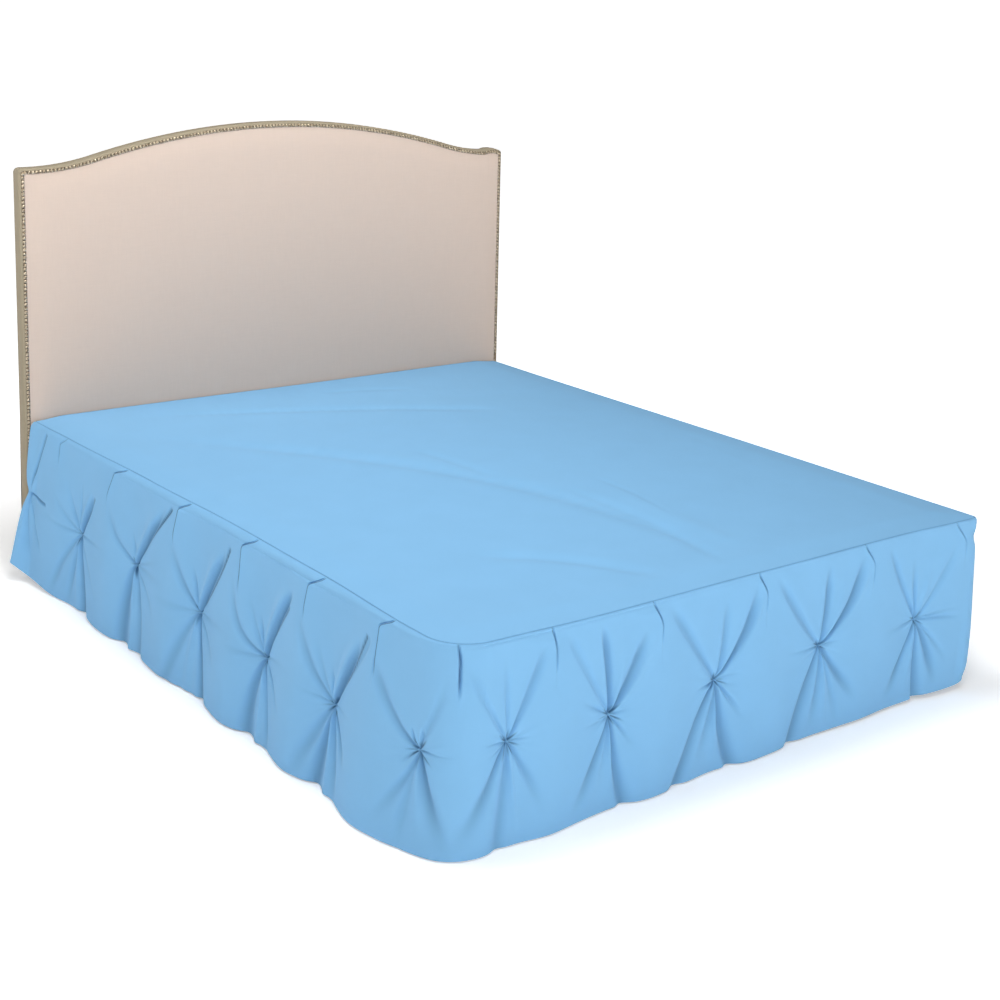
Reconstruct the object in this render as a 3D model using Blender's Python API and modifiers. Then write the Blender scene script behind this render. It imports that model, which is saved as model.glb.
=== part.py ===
"""Pinch-pleated bed skirt on a plain bed base with an arched upholstered headboard.

Units are metres, +Z is up, the head of the bed is at +Y and the foot at -Y.
The skirt is a flat deck sheet that lies on the base and three drops sewn to its edge.
A place on a drop is given by its run, the distance along the seam from the head of the
left side, round the foot, to the head of the right side, and by how far it is down from
the seam. The tables of the sewn details are in millimetres.
"""
from collections import namedtuple
import math

import bmesh
import bpy
import numpy as np
from mathutils import Vector

MM = 0.001

# Driving dimensions
BED_WIDTH = 1.600
BED_LENGTH = 2.000
DECK_HEIGHT = 0.457
CLOTH = 0.002
HEM_CLEARANCE = 0.008
SEAM_GAP = 0.0011
FIT_GAP = 0.0003
PANEL_GAP = 0.0014
NEAR_CORNER_RADIUS = 0.090
FAR_CORNER_RADIUS = 0.012

BASE_INSET = 0.024
BASE_THICKNESS = 0.270
BASE_EDGE_RADIUS = 0.012
LEG_RADIUS = 0.028
LEG_INSET = 0.050
LEG_END_INSET = 0.120

BOARD_WIDTH = 1.640
BOARD_SHIFT = -0.008
BOARD_SHOULDER = 1.160
BOARD_RISE = 0.107
BOARD_THICKNESS = 0.050
BOARD_BOTTOM = 0.150
BOARD_EDGE_RADIUS = 0.009
BOARD_CORNER_RADIUS = 0.014
ARCH_HALF_WIDTH = 0.790
ARCH_BLEND = 0.595
BOARD_LEG_WIDTH = 0.090
BOARD_LEG_DEPTH = 0.036
BOARD_GAP = 0.003

# Places that follow from them
HALF_WIDTH = BED_WIDTH / 2
HEAD_Y = BED_LENGTH / 2
FOOT_Y = -BED_LENGTH / 2
BOARD_FRONT = HEAD_Y + BOARD_GAP
DROP_DEPTH = DECK_HEIGHT - HEM_CLEARANCE
BASE_TOP = DECK_HEIGHT - CLOTH - FIT_GAP
BASE_BOTTOM = BASE_TOP - BASE_THICKNESS

# Runs at which the seam's straight and curved stretches end
LEFT_END = BED_LENGTH - NEAR_CORNER_RADIUS
NEAR_CORNER_END = LEFT_END + NEAR_CORNER_RADIUS * math.pi / 2
FOOT_END = NEAR_CORNER_END + BED_WIDTH - NEAR_CORNER_RADIUS - FAR_CORNER_RADIUS
FAR_CORNER_END = FOOT_END + FAR_CORNER_RADIUS * math.pi / 2
RIGHT_END = FAR_CORNER_END + BED_LENGTH - FAR_CORNER_RADIUS

# The three drops are cut where their seams hide, beside the near and the far corner
LEFT_JOIN = 2.036
RIGHT_JOIN = 3.592
Drop = namedtuple("Drop", "start end finest")
DROPS = {
    "drop_left": Drop(0.0, LEFT_JOIN - PANEL_GAP, 10.5),
    "drop_foot": Drop(LEFT_JOIN, RIGHT_JOIN - PANEL_GAP, 10.0),
    "drop_right": Drop(RIGHT_JOIN, RIGHT_END, 16.0),
}

# How the drop hangs: wander of the seam, size of the roll over the edge, flare at the
# hem, lift of the hem, and fullness between the pinches at mid height and at the hem
Hang = namedtuple("Hang", "run wander roll_out roll_down flare lift full_mid full_hem")
HANGS = (
    Hang(0, 18, 14, 20, 84, 48, 6, 4),
    Hang(60, 17, 14, 20, 54, 16, 8, 6),
    Hang(220, 12, 14, 20, 36, 0, 11, 14),
    Hang(700, -2, 14, 20, 44, 0, 12, 20),
    Hang(1100, -12, 14, 20, 50, 0, 13, 24),
    Hang(1500, -8, 14, 20, 46, 0, 14, 26),
    Hang(1850, 5, 13, 19, 52, 0, 12, 22),
    Hang(2040, 4, 8, 11, 20, 0, 8, 12),
    Hang(2300, 10, 5, 8, 6, 0, 7, 12),
    Hang(2800, 0, 5, 8, 4, 0, 7, 13),
    Hang(3300, -8, 5, 8, 3, 4, 7, 8),
    Hang(3520, 0, 5, 8, 6, 12, 6, 6),
    Hang(3566, 0, 6, 9, 18, 22, 4, 4),
    Hang(3640, 0, 8, 11, 28, 6, 8, 10),
    Hang(4400, 3, 9, 12, 24, 0, 9, 16),
    Hang(5300, 0, 9, 12, 28, 0, 9, 15),
    Hang(5566, 2, 9, 12, 44, 6, 6, 8),
)

# The tacks that gather the cloth into stars, how far each draws it in, and whose folds it
# has: the far side's stars fall like those of the foot
Pinch = namedtuple("Pinch", "run down pull folds")
PINCHES = (
    Pinch(11, 207, 13, "S6"),
    Pinch(316, 244, 9, "S5"),
    Pinch(649, 232, 9, "S4"),
    Pinch(988, 252, 9, "S3"),
    Pinch(1309, 258, 10, "S2"),
    Pinch(1607, 259, 9, "S1"),
    Pinch(1921, 237, 10, "C0"),
    Pinch(2094, 226, 8, "F1"),
    Pinch(2365, 235, 10, "F2"),
    Pinch(2683, 234, 9, "F3"),
    Pinch(3025, 229, 9, "F4"),
    Pinch(3371, 236, 10, "F5"),
    Pinch(3690, 224, 10, "F3"),
    Pinch(4022, 228, 10, "F2"),
    Pinch(4358, 222, 11, "F4"),
    Pinch(4690, 230, 10, "F3"),
    Pinch(5024, 226, 10, "F2"),
    Pinch(5352, 224, 9, "F5"),
)

# The knife pleats between the stars: slide is how far their top end lies along the seam
# from the rest, sharp is how far down they stay creased, over is the way the flap faces
Tuck = namedtuple("Tuck", "run slide slide_depth sharp lap over")
TUCKS = (
    Tuck(184, 30, 24, 40, 3.0, -1),
    Tuck(516, 54, 24, 62, 6.5, -1),
    Tuck(870, 38, 24, 72, 7.0, -1),
    Tuck(1180, 48, 24, 88, 7.5, -1),
    Tuck(1480, 44, 24, 62, 7.0, -1),
    Tuck(1770, 38, 24, 88, 7.0, -1),
    Tuck(1988, -4, 40, 84, 6.5, 1),
    Tuck(2206, -8, 55, 58, 6.0, 1),
    Tuck(2497, -25, 60, 60, 6.0, 1),
    Tuck(2820, -26, 60, 58, 6.0, 1),
    Tuck(3186, -32, 60, 62, 6.0, 1),
    Tuck(3518, -36, 60, 54, 4.5, 1),
    Tuck(3852, -26, 50, 58, 5.5, 1),
    Tuck(4190, -28, 50, 64, 6.0, 1),
    Tuck(4524, -24, 50, 60, 6.0, 1),
    Tuck(4856, -30, 50, 56, 5.5, 1),
    Tuck(5192, -26, 50, 62, 6.0, 1),
    Tuck(5480, -20, 50, 46, 4.0, 1),
)

# The main folds of each star, from its tack through a middle point to an end, in
# millimetres along and down from the tack. A negative rise is a groove, and near is the
# share of it beside the tack. The width goes from root through middle to tip, skew widens
# the right flank, and a fold dies away from the share of its length that fade gives
Fold = namedtuple(
    "Fold", "mid_along mid_down end_along end_down rise near root middle tip skew fade")
FOLDS = {
    "S6": (
        Fold(50, -114, 66, -184, -6, 1, 4, 7, 9, 0, 0.5),
        Fold(66, 5, 126, 4, -3, 1, 4, 5, 6, 0, 0.2),
        Fold(60, 75, 120, 139, -3, 1, 4, 8, 12, 0, 0.2),
        Fold(8, 110, 12, 240, -8, 1, 4, 11, 18, 0, 1),
        Fold(-2, 90, -6, 240, 5, 1, 4, 7, 10, 0, 0.6),
    ),
    "S5": (
        Fold(-42, -74, -76, -156, -5, 1, 4, 9, 12, 0, 0.3),
        Fold(12, -96, 22, -170, -4, 1, 4, 7, 9, 0, 0.2),
        Fold(44, -76, 76, -136, 6, 1, 4, 11, 9, -0.5, 0.6),
        Fold(58, -78, 88, -140, -11, 1, 4, 10, 6, 0.2, 0.6),
        Fold(-74, 91, -150, 226, -6, 1, 4, 10, 20, 0, 0.6),
        Fold(-20, 91, -50, 228, -6, 1, 4, 8, 16, 0, 0.6),
        Fold(4, 100, 6, 232, 4, 1, 4, 8, 14, 0, 0.6),
        Fold(30, 107, 48, 236, -12, 1, 4, 13, 24, 0.2, 1),
    ),
    "S4": (
        Fold(-100, -62, -150, -150, -6, 1, 4, 10, 13, 0, 0.4),
        Fold(-6, -50, -18, -96, -4, 1, 4, 6, 8, 0, 0.2),
        Fold(24, -70, 46, -150, 4, 1, 4, 12, 16, 0, 0.1),
        Fold(66, -100, 142, -192, 8, 1, 4, 13, 10, -0.5, 0.6),
        Fold(82, -104, 160, -196, -11, 1, 4, 9, 6, 0.2, 0.6),
        Fold(-30, 76, -44, 232, -12, 1, 4, 15, 26, 0.2, 1),
        Fold(10, 96, 8, 234, 6, 1, 4, 9, 15, 0, 1),
        Fold(44, 90, 58, 232, -8, 1, 4, 13, 24, 0, 1),
    ),
    "S3": (
        Fold(-72, -68, -146, -166, -6, 1, 4, 11, 16, 0, 0.5),
        Fold(-18, -62, -36, -118, -5, 1, 4, 6, 8, 0, 0.4),
        Fold(54, -106, 98, -190, 8, 1, 5, 13, 10, -0.5, 0.6),
        Fold(70, -110, 116, -194, -12, 1, 4, 9, 6, 0.2, 0.6),
        Fold(-51, 82, -112, 224, -6, 1, 4, 13, 26, 0, 1),
        Fold(-12, 100, -18, 236, 5, 1, 4, 12, 20, 0, 1),
        Fold(30, 110, 58, 232, -12, 1, 4, 12, 22, 0.3, 1),
        Fold(88, 56, 156, 108, -4, 1, 4, 9, 16, 0, 0.2),
    ),
    "S2": (
        Fold(-104, -62, -152, -176, -6, 1, 4, 11, 14, 0, 0.5),
        Fold(14, -80, 24, -160, 4, 1, 4, 12, 18, 0, 0.1),
        Fold(50, -128, 92, -190, 8, 1, 5, 13, 10, -0.5, 0.6),
        Fold(68, -132, 110, -198, -12, 1, 4, 9, 6, 0.2, 0.6),
        Fold(-34, 96, -44, 230, -12, 1, 4, 15, 28, 0.2, 1),
        Fold(8, 100, 12, 232, 6, 1, 4, 9, 16, 0, 1),
        Fold(36, 108, 70, 226, -7, 1, 4, 8, 14, 0, 0.6),
        Fold(70, 44, 140, 96, -4, 1, 4, 6, 10, 0, 0.3),
    ),
    "S1": (
        Fold(-86, -78, -152, -180, -6, 1, 4, 11, 14, 0, 0.5),
        Fold(46, -96, 86, -186, 8, 1, 5, 13, 10, -0.5, 0.6),
        Fold(60, -100, 104, -192, -12, 1, 4, 10, 5, 0.2, 0.6),
        Fold(-40, 70, -120, 226, -8, 1, 4, 11, 22, 0, 0.6),
        Fold(-14, 76, -40, 226, -12, 1, 4, 11, 26, 0.2, 1),
        Fold(12, 96, 16, 230, 5, 1, 4, 8, 14, 0, 1),
        Fold(32, 90, 64, 228, -8, 1, 4, 11, 20, 0, 0.6),
        Fold(60, 52, 112, 110, -9, 1, 4, 8, 14, 0, 0.4),
    ),
    "C0": (
        Fold(-90, -72, -156, -160, -8, 1, 4, 12, 14, 0, 0.6),
        Fold(34, -100, 54, -190, -4, 1, 4, 7, 9, 0, 0.4),
        Fold(-25, 74, -110, 200, -8, 1, 4, 8, 18, 0.2, 0.5),
        Fold(8, 90, 14, 230, 3, 1, 4, 6, 12, 0, 0.6),
        Fold(22, 66, 62, 222, -12, 1, 4, 9, 16, -0.2, 0.6),
        Fold(-12, 110, -20, 228, -5, 1, 4, 9, 16, 0, 0.6),
    ),
    "F1": (
        Fold(-62, -112, -92, -204, -4, 1, 4, 7, 9, 0, 0.6),
        Fold(-6, -104, -8, -196, -4, 1, 4, 7, 9, 0, 0.4),
        Fold(58, -118, 90, -200, -7, 1, 4, 9, 8, 0, 0.6),
        Fold(-46, 66, -112, 222, -10, 1, 4, 9, 18, 0.1, 0.6),
        Fold(-12, 96, -30, 226, -8, 1, 4, 12, 20, -0.1, 1),
        Fold(8, 110, 20, 228, 3, 1, 4, 6, 10, 0, 0.6),
        Fold(36, 68, 88, 180, -8, 1, 4, 8, 14, 0.1, 0.5),
        Fold(-38, -7, -78, -12, -2, 1, 4, 3, 5, 0, 0.2),
    ),
    "F2": (
        Fold(-77, -125, -128, -216, -5, 1, 4, 9, 8, 0, 0.7),
        Fold(-16, -130, -38, -214, -10, 1, 4, 9, 6, 0.1, 0.6),
        Fold(58, -94, 92, -182, -10, 1, 4, 11, 8, -0.1, 0.6),
        Fold(84, -100, 124, -196, 3, 1, 4, 7, 8, 0, 0.3),
        Fold(-34, 78, -116, 212, -10, 1, 4, 10, 18, 0.2, 0.6),
        Fold(-14, 84, -36, 176, -4, 1, 4, 6, 12, 0, 0.3),
        Fold(2, 100, 6, 226, 3, 1, 4, 7, 14, 0, 0.6),
        Fold(14, 104, 46, 224, -10, 1, 4, 9, 18, 0.2, 1),
    ),
    "F3": (
        Fold(-84, -110, -164, -218, -8, 1, 4, 11, 9, 0, 0.7),
        Fold(16, -100, 14, -200, -6, 1, 4, 9, 10, 0, 0.6),
        Fold(50, -100, 66, -196, 4, 1, 4, 12, 12, 0, 0.2),
        Fold(82, -108, 104, -212, -12, 1, 4, 11, 6, -0.1, 0.6),
        Fold(-54, 78, -124, 224, -12, 1, 4, 13, 20, 0.2, 1),
        Fold(-18, 88, -52, 184, -6, 1, 4, 9, 16, 0, 0.5),
        Fold(-2, 100, 4, 226, 5, 1, 4, 8, 16, 0, 0.6),
        Fold(16, 104, 58, 226, -12, 1, 4, 12, 17, 0.2, 1),
    ),
    "F4": (
        Fold(-92, -101, -168, -208, -7, 1, 4, 10, 8, 0, 0.7),
        Fold(12, -106, 0, -208, -9, 1, 4, 10, 9, 0, 0.6),
        Fold(98, -104, 124, -214, -12, 1, 4, 11, 8, -0.1, 0.6),
        Fold(-40, 82, -90, 228, -12, 1, 4, 15, 20, 0.2, 1),
        Fold(-2, 104, -18, 212, -6, 1, 4, 10, 16, 0, 0.6),
        Fold(18, 104, 26, 228, 4, 1, 4, 8, 14, 0, 0.6),
        Fold(44, 120, 80, 228, -5, 1, 4, 8, 14, 0, 0.5),
        Fold(60, 78, 136, 168, -10, 1, 4, 10, 12, 0, 0.5),
    ),
    "F5": (
        Fold(-78, -125, -126, -214, -6, 1, 4, 8, 7, 0, 0.6),
        Fold(-18, -85, -33, -180, -5, 1, 4, 6, 10, 0, 0.4),
        Fold(24, -100, 36, -190, 4, 1, 4, 12, 14, 0, 0.3),
        Fold(78, -108, 118, -188, -5, 1, 4, 9, 9, 0, 0.5),
        Fold(-39, 78, -100, 200, -9, 1, 4, 8, 18, 0.2, 0.6),
        Fold(-14, 100, -26, 224, 4, 1, 4, 9, 14, 0, 0.6),
        Fold(5, 100, 20, 224, -12, 1, 4, 9, 16, 0.4, 1),
        Fold(40, 78, 84, 200, -10, 1, 4, 9, 16, 0, 0.6),
    ),
}

# Mesh spacing along and down a drop, in millimetres
FINEST_DOWN = 19.0
SPACING_GROWTH = 0.32
COARSEST_ALONG = 38.0
COARSEST_DOWN = 48.0
NARROWEST_FOLD = 9.0
TUCK_STEP = 4.0
TUCK_REACH = 115.0
TACK_DOWN = 230.0
SEWN_BAND = 26.0
RAY_START = 12.0
NEAR_SHARE = 0.35


def clear_scene():
    for obj in list(bpy.data.objects):
        bpy.data.objects.remove(obj, do_unlink=True)


def smooth(t):
    """A smooth step from 0 to 1."""
    t = np.clip(t, 0.0, 1.0)
    return t * t * (3.0 - 2.0 * t)


def hang_value(run, column):
    """Read one column of the hang table at a run in metres, smoothly between its rows."""
    stations = np.array([row.run for row in HANGS], float)
    values = np.array([getattr(row, column) for row in HANGS], float)
    at = np.clip(np.asarray(run, float) / MM, stations[0], stations[-1])
    row = np.clip(np.searchsorted(stations, at, side="right") - 1, 0, len(stations) - 2)
    share = smooth((at - stations[row]) / (stations[row + 1] - stations[row]))
    return values[row] * (1.0 - share) + values[row + 1] * share


def seam_path(run):
    """Plan position and outward normal of the nominal edge at each run."""
    run = np.asarray(run, float)
    near = np.clip((run - LEFT_END) / NEAR_CORNER_RADIUS, 0.0, math.pi / 2)
    far = np.clip((run - FOOT_END) / FAR_CORNER_RADIUS, 0.0, math.pi / 2)
    turn = near + far
    normal_x = -np.cos(turn)
    normal_y = -np.sin(turn)
    left = np.minimum(run, LEFT_END)
    foot = np.clip(run, NEAR_CORNER_END, FOOT_END) - NEAR_CORNER_END
    right = np.maximum(run, FAR_CORNER_END) - FAR_CORNER_END
    x = -HALF_WIDTH + NEAR_CORNER_RADIUS * (1.0 - np.cos(near)) + foot
    x = x + FAR_CORNER_RADIUS * np.sin(far)
    y = HEAD_Y - left - NEAR_CORNER_RADIUS * np.sin(near)
    y = y + FAR_CORNER_RADIUS * (1.0 - np.cos(far)) + right
    return x, y, normal_x, normal_y


def star_phase(run_mm):
    """0 at a tack, 1 at a tuck, and a straight share of the way between them."""
    stations = [(pinch.run, 0.0) for pinch in PINCHES] + [(tuck.run, 1.0) for tuck in TUCKS]
    stations.sort()
    return np.interp(run_mm, [s[0] for s in stations], [s[1] for s in stations])


def fold_relief(run, down, pinch, fold, narrowest):
    """Height of one fold over the hanging cloth, in millimetres."""
    mid = np.array([fold.mid_along, fold.mid_down], float)
    end = np.array([fold.end_along, fold.end_down], float)
    bend = 2.0 * mid - end / 2.0
    t = np.linspace(0.0, 1.0, 13)[:, None]
    points = 2.0 * t * (1.0 - t) * bend + t * t * end + (pinch.run, pinch.down)

    relief = np.zeros_like(run)
    margin = 3.0 * max(fold.middle, fold.tip, narrowest)
    low, high = points.min(axis=0) - margin, points.max(axis=0) + margin
    near = (run > low[0]) & (run < high[0]) & (down > low[1]) & (down < high[1])
    if not near.any():
        return relief

    place = np.stack([run[near], down[near]], axis=1)[:, None, :]
    start, step = points[:-1], np.diff(points, axis=0)
    length = (step ** 2).sum(axis=1)
    share = np.clip(((place - start) * step).sum(axis=2) / length, 0.0, 1.0)
    gap = place - start - share[:, :, None] * step
    distance = np.sqrt((gap ** 2).sum(axis=2))
    nearest = distance.argmin(axis=1)
    rows = np.arange(len(nearest))
    along = (nearest + share[rows, nearest]) / len(step)
    to_right = np.sign(gap[rows, nearest, 0])
    distance = distance[rows, nearest]

    ends = fold.root * (1.0 - along) + fold.tip * along
    width = ends + 4.0 * along * (1.0 - along) * (fold.middle - (fold.root + fold.tip) / 2.0)
    width = np.maximum(width * (1.0 + fold.skew * to_right), narrowest)
    reach = np.hypot(*(points[-1] - points[0]))
    envelope = smooth(along * reach / RAY_START)
    envelope = envelope * (fold.near + (1.0 - fold.near) * smooth(along / NEAR_SHARE))
    if fold.fade < 1.0:
        envelope = envelope * (1.0 - smooth((along - fold.fade) / (1.0 - fold.fade)))
    relief[near] = fold.rise * envelope * np.exp(-(distance / width) ** 2)
    return relief


def tuck_line(tuck, down):
    """Run of a tuck's creased edge at each depth."""
    return tuck.run + tuck.slide * (1.0 - smooth(down / tuck.slide_depth))


def tuck_relief(run, down, tuck, step):
    """A flap that rises to its edge and drops to the layer below it, in millimetres."""
    past = (run - tuck_line(tuck, down)) * tuck.over
    flap = np.exp(np.minimum(past, 0.0) / 26.0)
    under = -0.4 * np.exp(-np.maximum(past, 0.0) / 12.0)
    share = 0.5 + 0.5 * np.tanh(past / step)
    fade = 1.0 - smooth((down - tuck.sharp) / 85.0)
    return tuck.lap * fade * (flap * (1.0 - share) + under * share)


def star_relief(run, down, narrowest):
    """The folds of all the stars: the highest ridge and the deepest groove win."""
    ridges = np.zeros_like(run)
    grooves = np.zeros_like(run)
    for pinch in PINCHES:
        for fold in FOLDS[pinch.folds]:
            relief = fold_relief(run, down, pinch, fold, narrowest)
            if fold.rise > 0:
                ridges += relief ** 4
            else:
                grooves += relief ** 4
    return ridges ** 0.25 - grooves ** 0.25


def fullness(run, down):
    """How far the cloth swells between the stars, in millimetres."""
    soft = 0.5 - 0.5 * np.cos(math.pi * star_phase(run))
    share = np.clip(down * MM / DROP_DEPTH, 0.0, 1.0)
    mid = hang_value(run * MM, "full_mid") * np.sin(math.pi * share)
    hem = hang_value(run * MM, "full_hem") * smooth(share)
    return (mid + hem) * soft


def drop_relief(run, down, narrowest, step):
    """How far the cloth stands out from its plain hang, in millimetres."""
    relief = fullness(run, down) + star_relief(run, down, narrowest)
    relief = relief + 0.9 * np.sin(run / 47.0 + down / 90.0) * np.sin(down / 70.0 + 1.0)
    relief = relief + 0.7 * np.sin(run / 23.0 - down / 60.0 + 2.0)
    for tuck in TUCKS:
        relief = relief + tuck_relief(run, down, tuck, step)
    for pinch in PINCHES:
        distance = np.hypot(run - pinch.run, down - pinch.down)
        relief = relief - pinch.pull * np.exp(-distance / 30.0)
    return relief * smooth(down / SEWN_BAND)


def hang_out(run, down_mm):
    """Outward distance of the plain hanging cloth from the nominal edge, in metres."""
    roll_down = hang_value(run, "roll_down")
    curl = 1.0 - np.clip(down_mm / roll_down, 0.0, 1.0)
    roll = hang_value(run, "roll_out") * np.sqrt(1.0 - curl ** 2)
    flare = hang_value(run, "flare") * (down_mm * MM / DROP_DEPTH) ** 1.15
    return (hang_value(run, "wander") + roll + flare) * MM


def run_of_column(column, down):
    """Run in millimetres of a grid column, which follows the crease of a tuck beside it."""
    run = column / MM
    for tuck in TUCKS:
        near = smooth(1.0 - np.abs(column / MM - tuck.run) / TUCK_REACH)
        run = run + (tuck_line(tuck, down) - tuck.run) * near
    return run


def drop_columns(drop):
    """Grid columns of a drop, closest together at its tacks and tucks."""
    stations = [pinch.run for pinch in PINCHES] + [tuck.run for tuck in TUCKS]
    return graded(drop.start / MM, drop.end / MM, stations, drop.finest, COARSEST_ALONG) * MM


def drop_surface(column, down, narrowest, step):
    """Outer face of the drop at a grid of columns (metres) and depths (millimetres)."""
    run = run_of_column(column, down)
    lift = hang_value(column, "lift")
    hanging = down - lift * (down * MM / DROP_DEPTH) ** 3
    x, y, normal_x, normal_y = seam_path(run * MM)
    out = hang_out(run * MM, down) + SEAM_GAP + drop_relief(run, down, narrowest, step) * MM
    return np.stack([x + normal_x * out, y + normal_y * out, DECK_HEIGHT - hanging * MM], axis=-1)


def graded(start, end, stations, finest, coarsest):
    """Values from start to end, finest beside the stations and coarser away from them."""
    fine = np.linspace(start, end, 4000)
    away = np.min(np.abs(fine[:, None] - np.array(stations, float)[None, :]), axis=1)
    spacing = np.minimum(finest + SPACING_GROWTH * away, coarsest)
    count = np.concatenate([[0.0], np.cumsum(np.diff(fine) / spacing[1:])])
    total = max(2, round(count[-1]))
    return np.interp(np.linspace(0.0, count[-1], total + 1), count, fine)


def make_material(name, colour, roughness):
    material = bpy.data.materials.new(name)
    material.use_nodes = True
    shader = material.node_tree.nodes["Principled BSDF"]
    shader.inputs["Base Color"].default_value = (*colour, 1.0)
    shader.inputs["Roughness"].default_value = roughness
    shader.inputs["Metallic"].default_value = 0.0
    material.diffuse_color = (*colour, 1.0)
    return material


def add_object(name, mesh, material, collection):
    obj = bpy.data.objects.new(name, mesh)
    obj.data.materials.append(material)
    collection.objects.link(obj)
    return obj


def mesh_from_bmesh(name, bm, smooth_shaded=False):
    mesh = bpy.data.meshes.new(name)
    bm.normal_update()
    bm.to_mesh(mesh)
    bm.free()
    if smooth_shaded:
        mesh.shade_smooth()
        mesh.set_sharp_from_angle(angle=math.radians(40))
    return mesh


def add_bevel(obj, width, segments):
    bevel = obj.modifiers.new("soft edges", "BEVEL")
    bevel.width = width
    bevel.segments = segments
    bevel.limit_method = "ANGLE"
    bevel.angle_limit = math.radians(50)


def make_drop(name, drop, material, collection):
    """One pleated panel of the drop between two runs, hung from the deck's seam."""
    columns = drop_columns(drop)
    roll = hang_value((drop.start + drop.end) / 2, "roll_down")
    body = graded(roll, DROP_DEPTH / MM, [TACK_DOWN], FINEST_DOWN, COARSEST_DOWN)
    curl = roll * (1.0 - np.cos(np.radians([0.0, 22.0, 52.0])))
    downs = np.concatenate([curl, body])
    grid_columns, grid_downs = np.meshgrid(columns, downs, indexing="ij")
    points = drop_surface(grid_columns, grid_downs, NARROWEST_FOLD, TUCK_STEP)

    bm = bmesh.new()
    verts = [[bm.verts.new(point) for point in column] for column in points]
    for left, right in zip(verts, verts[1:]):
        for row in range(len(left) - 1):
            bm.faces.new((left[row], left[row + 1], right[row + 1], right[row]))
    obj = add_object(name, mesh_from_bmesh(name, bm, smooth_shaded=True), material, collection)
    shell = obj.modifiers.new("cloth thickness", "SOLIDIFY")
    shell.thickness = CLOTH
    shell.offset = -1.0
    return obj


def deck_outline():
    """Plan outline of the deck sheet, just inside the seam of the drops."""
    columns = np.concatenate([drop_columns(drop) for drop in DROPS.values()])
    runs = run_of_column(columns, 0.0) * MM
    x, y, normal_x, normal_y = seam_path(runs)
    out = hang_value(runs, "wander") * MM
    return [(px, py) for px, py in zip(x + normal_x * out, y + normal_y * out)]


def flat_outline_mesh(name, outline, thickness):
    """A flat curve outline, filled and given its thickness, as one welded mesh."""
    curve = bpy.data.curves.new(name, "CURVE")
    curve.dimensions = "2D"
    curve.fill_mode = "BOTH"
    curve.extrude = thickness / 2
    spline = curve.splines.new("POLY")
    spline.points.add(len(outline) - 1)
    for point, (x, y) in zip(spline.points, outline):
        point.co = (x, y, 0.0, 1.0)
    spline.use_cyclic_u = True
    holder = bpy.data.objects.new(name, curve)
    bpy.context.scene.collection.objects.link(holder)
    evaluated = holder.evaluated_get(bpy.context.evaluated_depsgraph_get())
    mesh = bpy.data.meshes.new_from_object(evaluated)
    bpy.data.objects.remove(holder, do_unlink=True)
    bm = bmesh.new()
    bm.from_mesh(mesh)
    bmesh.ops.remove_doubles(bm, verts=bm.verts, dist=0.00005)
    bmesh.ops.recalc_face_normals(bm, faces=bm.faces)
    bm.to_mesh(mesh)
    bm.free()
    return mesh


def make_deck(material, collection):
    mesh = flat_outline_mesh("deck", deck_outline(), CLOTH)
    deck = add_object("deck", mesh, material, collection)
    deck.location.z = DECK_HEIGHT - CLOTH / 2
    return deck


def make_base(material, collection):
    """The boxed bed base under the deck, which reaches back to the headboard."""
    bm = bmesh.new()
    bmesh.ops.create_cube(bm, size=1.0)
    front = FOOT_Y + BASE_INSET
    back = BOARD_FRONT - FIT_GAP
    bmesh.ops.scale(bm, vec=(BED_WIDTH - 2 * BASE_INSET, back - front, BASE_THICKNESS), verts=bm.verts)
    base = add_object("bed_base", mesh_from_bmesh("bed_base", bm), material, collection)
    base.location = (0.0, (front + back) / 2, BASE_TOP - BASE_THICKNESS / 2)
    add_bevel(base, BASE_EDGE_RADIUS, 2)
    return base


def make_base_legs(material, collection):
    """Six plain turned legs in two rows, which leave the space between them open."""
    height = BASE_BOTTOM - FIT_GAP
    across = HALF_WIDTH - BASE_INSET - LEG_INSET
    lengthwise = BED_LENGTH / 2 - LEG_END_INSET
    legs = []
    for side, x in (("left", -across), ("right", across)):
        for row, y in (("foot", -lengthwise), ("middle", 0.0), ("head", lengthwise)):
            bm = bmesh.new()
            bmesh.ops.create_cone(bm, cap_ends=True, segments=16, depth=height,
                                  radius1=LEG_RADIUS, radius2=LEG_RADIUS)
            name = f"base_leg_{side}_{row}"
            leg = add_object(name, mesh_from_bmesh(name, bm, smooth_shaded=True), material, collection)
            leg.location = (x, y, height / 2)
            legs.append(leg)
    return legs


def board_top(x):
    """Height of the headboard's arched top: a round crown that runs out to flat shoulders."""
    crown = BOARD_SHOULDER + BOARD_RISE
    reach = abs(x)
    blend = ARCH_HALF_WIDTH - ARCH_BLEND
    bow = BOARD_RISE / (ARCH_BLEND ** 2 + ARCH_BLEND * blend)
    if reach <= ARCH_BLEND:
        return crown - bow * reach ** 2
    if reach >= ARCH_HALF_WIDTH:
        return BOARD_SHOULDER
    past = reach - ARCH_BLEND
    slope = 2.0 * bow * ARCH_BLEND
    return crown - bow * ARCH_BLEND ** 2 - slope * past + slope * past ** 2 / (2.0 * blend)


def board_outline():
    """Front outline of the headboard, anticlockwise from its lower left corner."""
    half = BOARD_WIDTH / 2
    corner = BOARD_CORNER_RADIUS
    outline = [(-half, BOARD_BOTTOM), (half, BOARD_BOTTOM)]
    for angle in np.radians(np.linspace(0.0, 90.0, 5)):
        outline.append((half - corner + corner * math.cos(angle),
                        BOARD_SHOULDER - corner + corner * math.sin(angle)))
    for x in np.linspace(ARCH_HALF_WIDTH, -ARCH_HALF_WIDTH, 41):
        outline.append((x, board_top(x)))
    for angle in np.radians(np.linspace(90.0, 180.0, 5)):
        outline.append((-half + corner + corner * math.cos(angle),
                        BOARD_SHOULDER - corner + corner * math.sin(angle)))
    return outline


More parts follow.
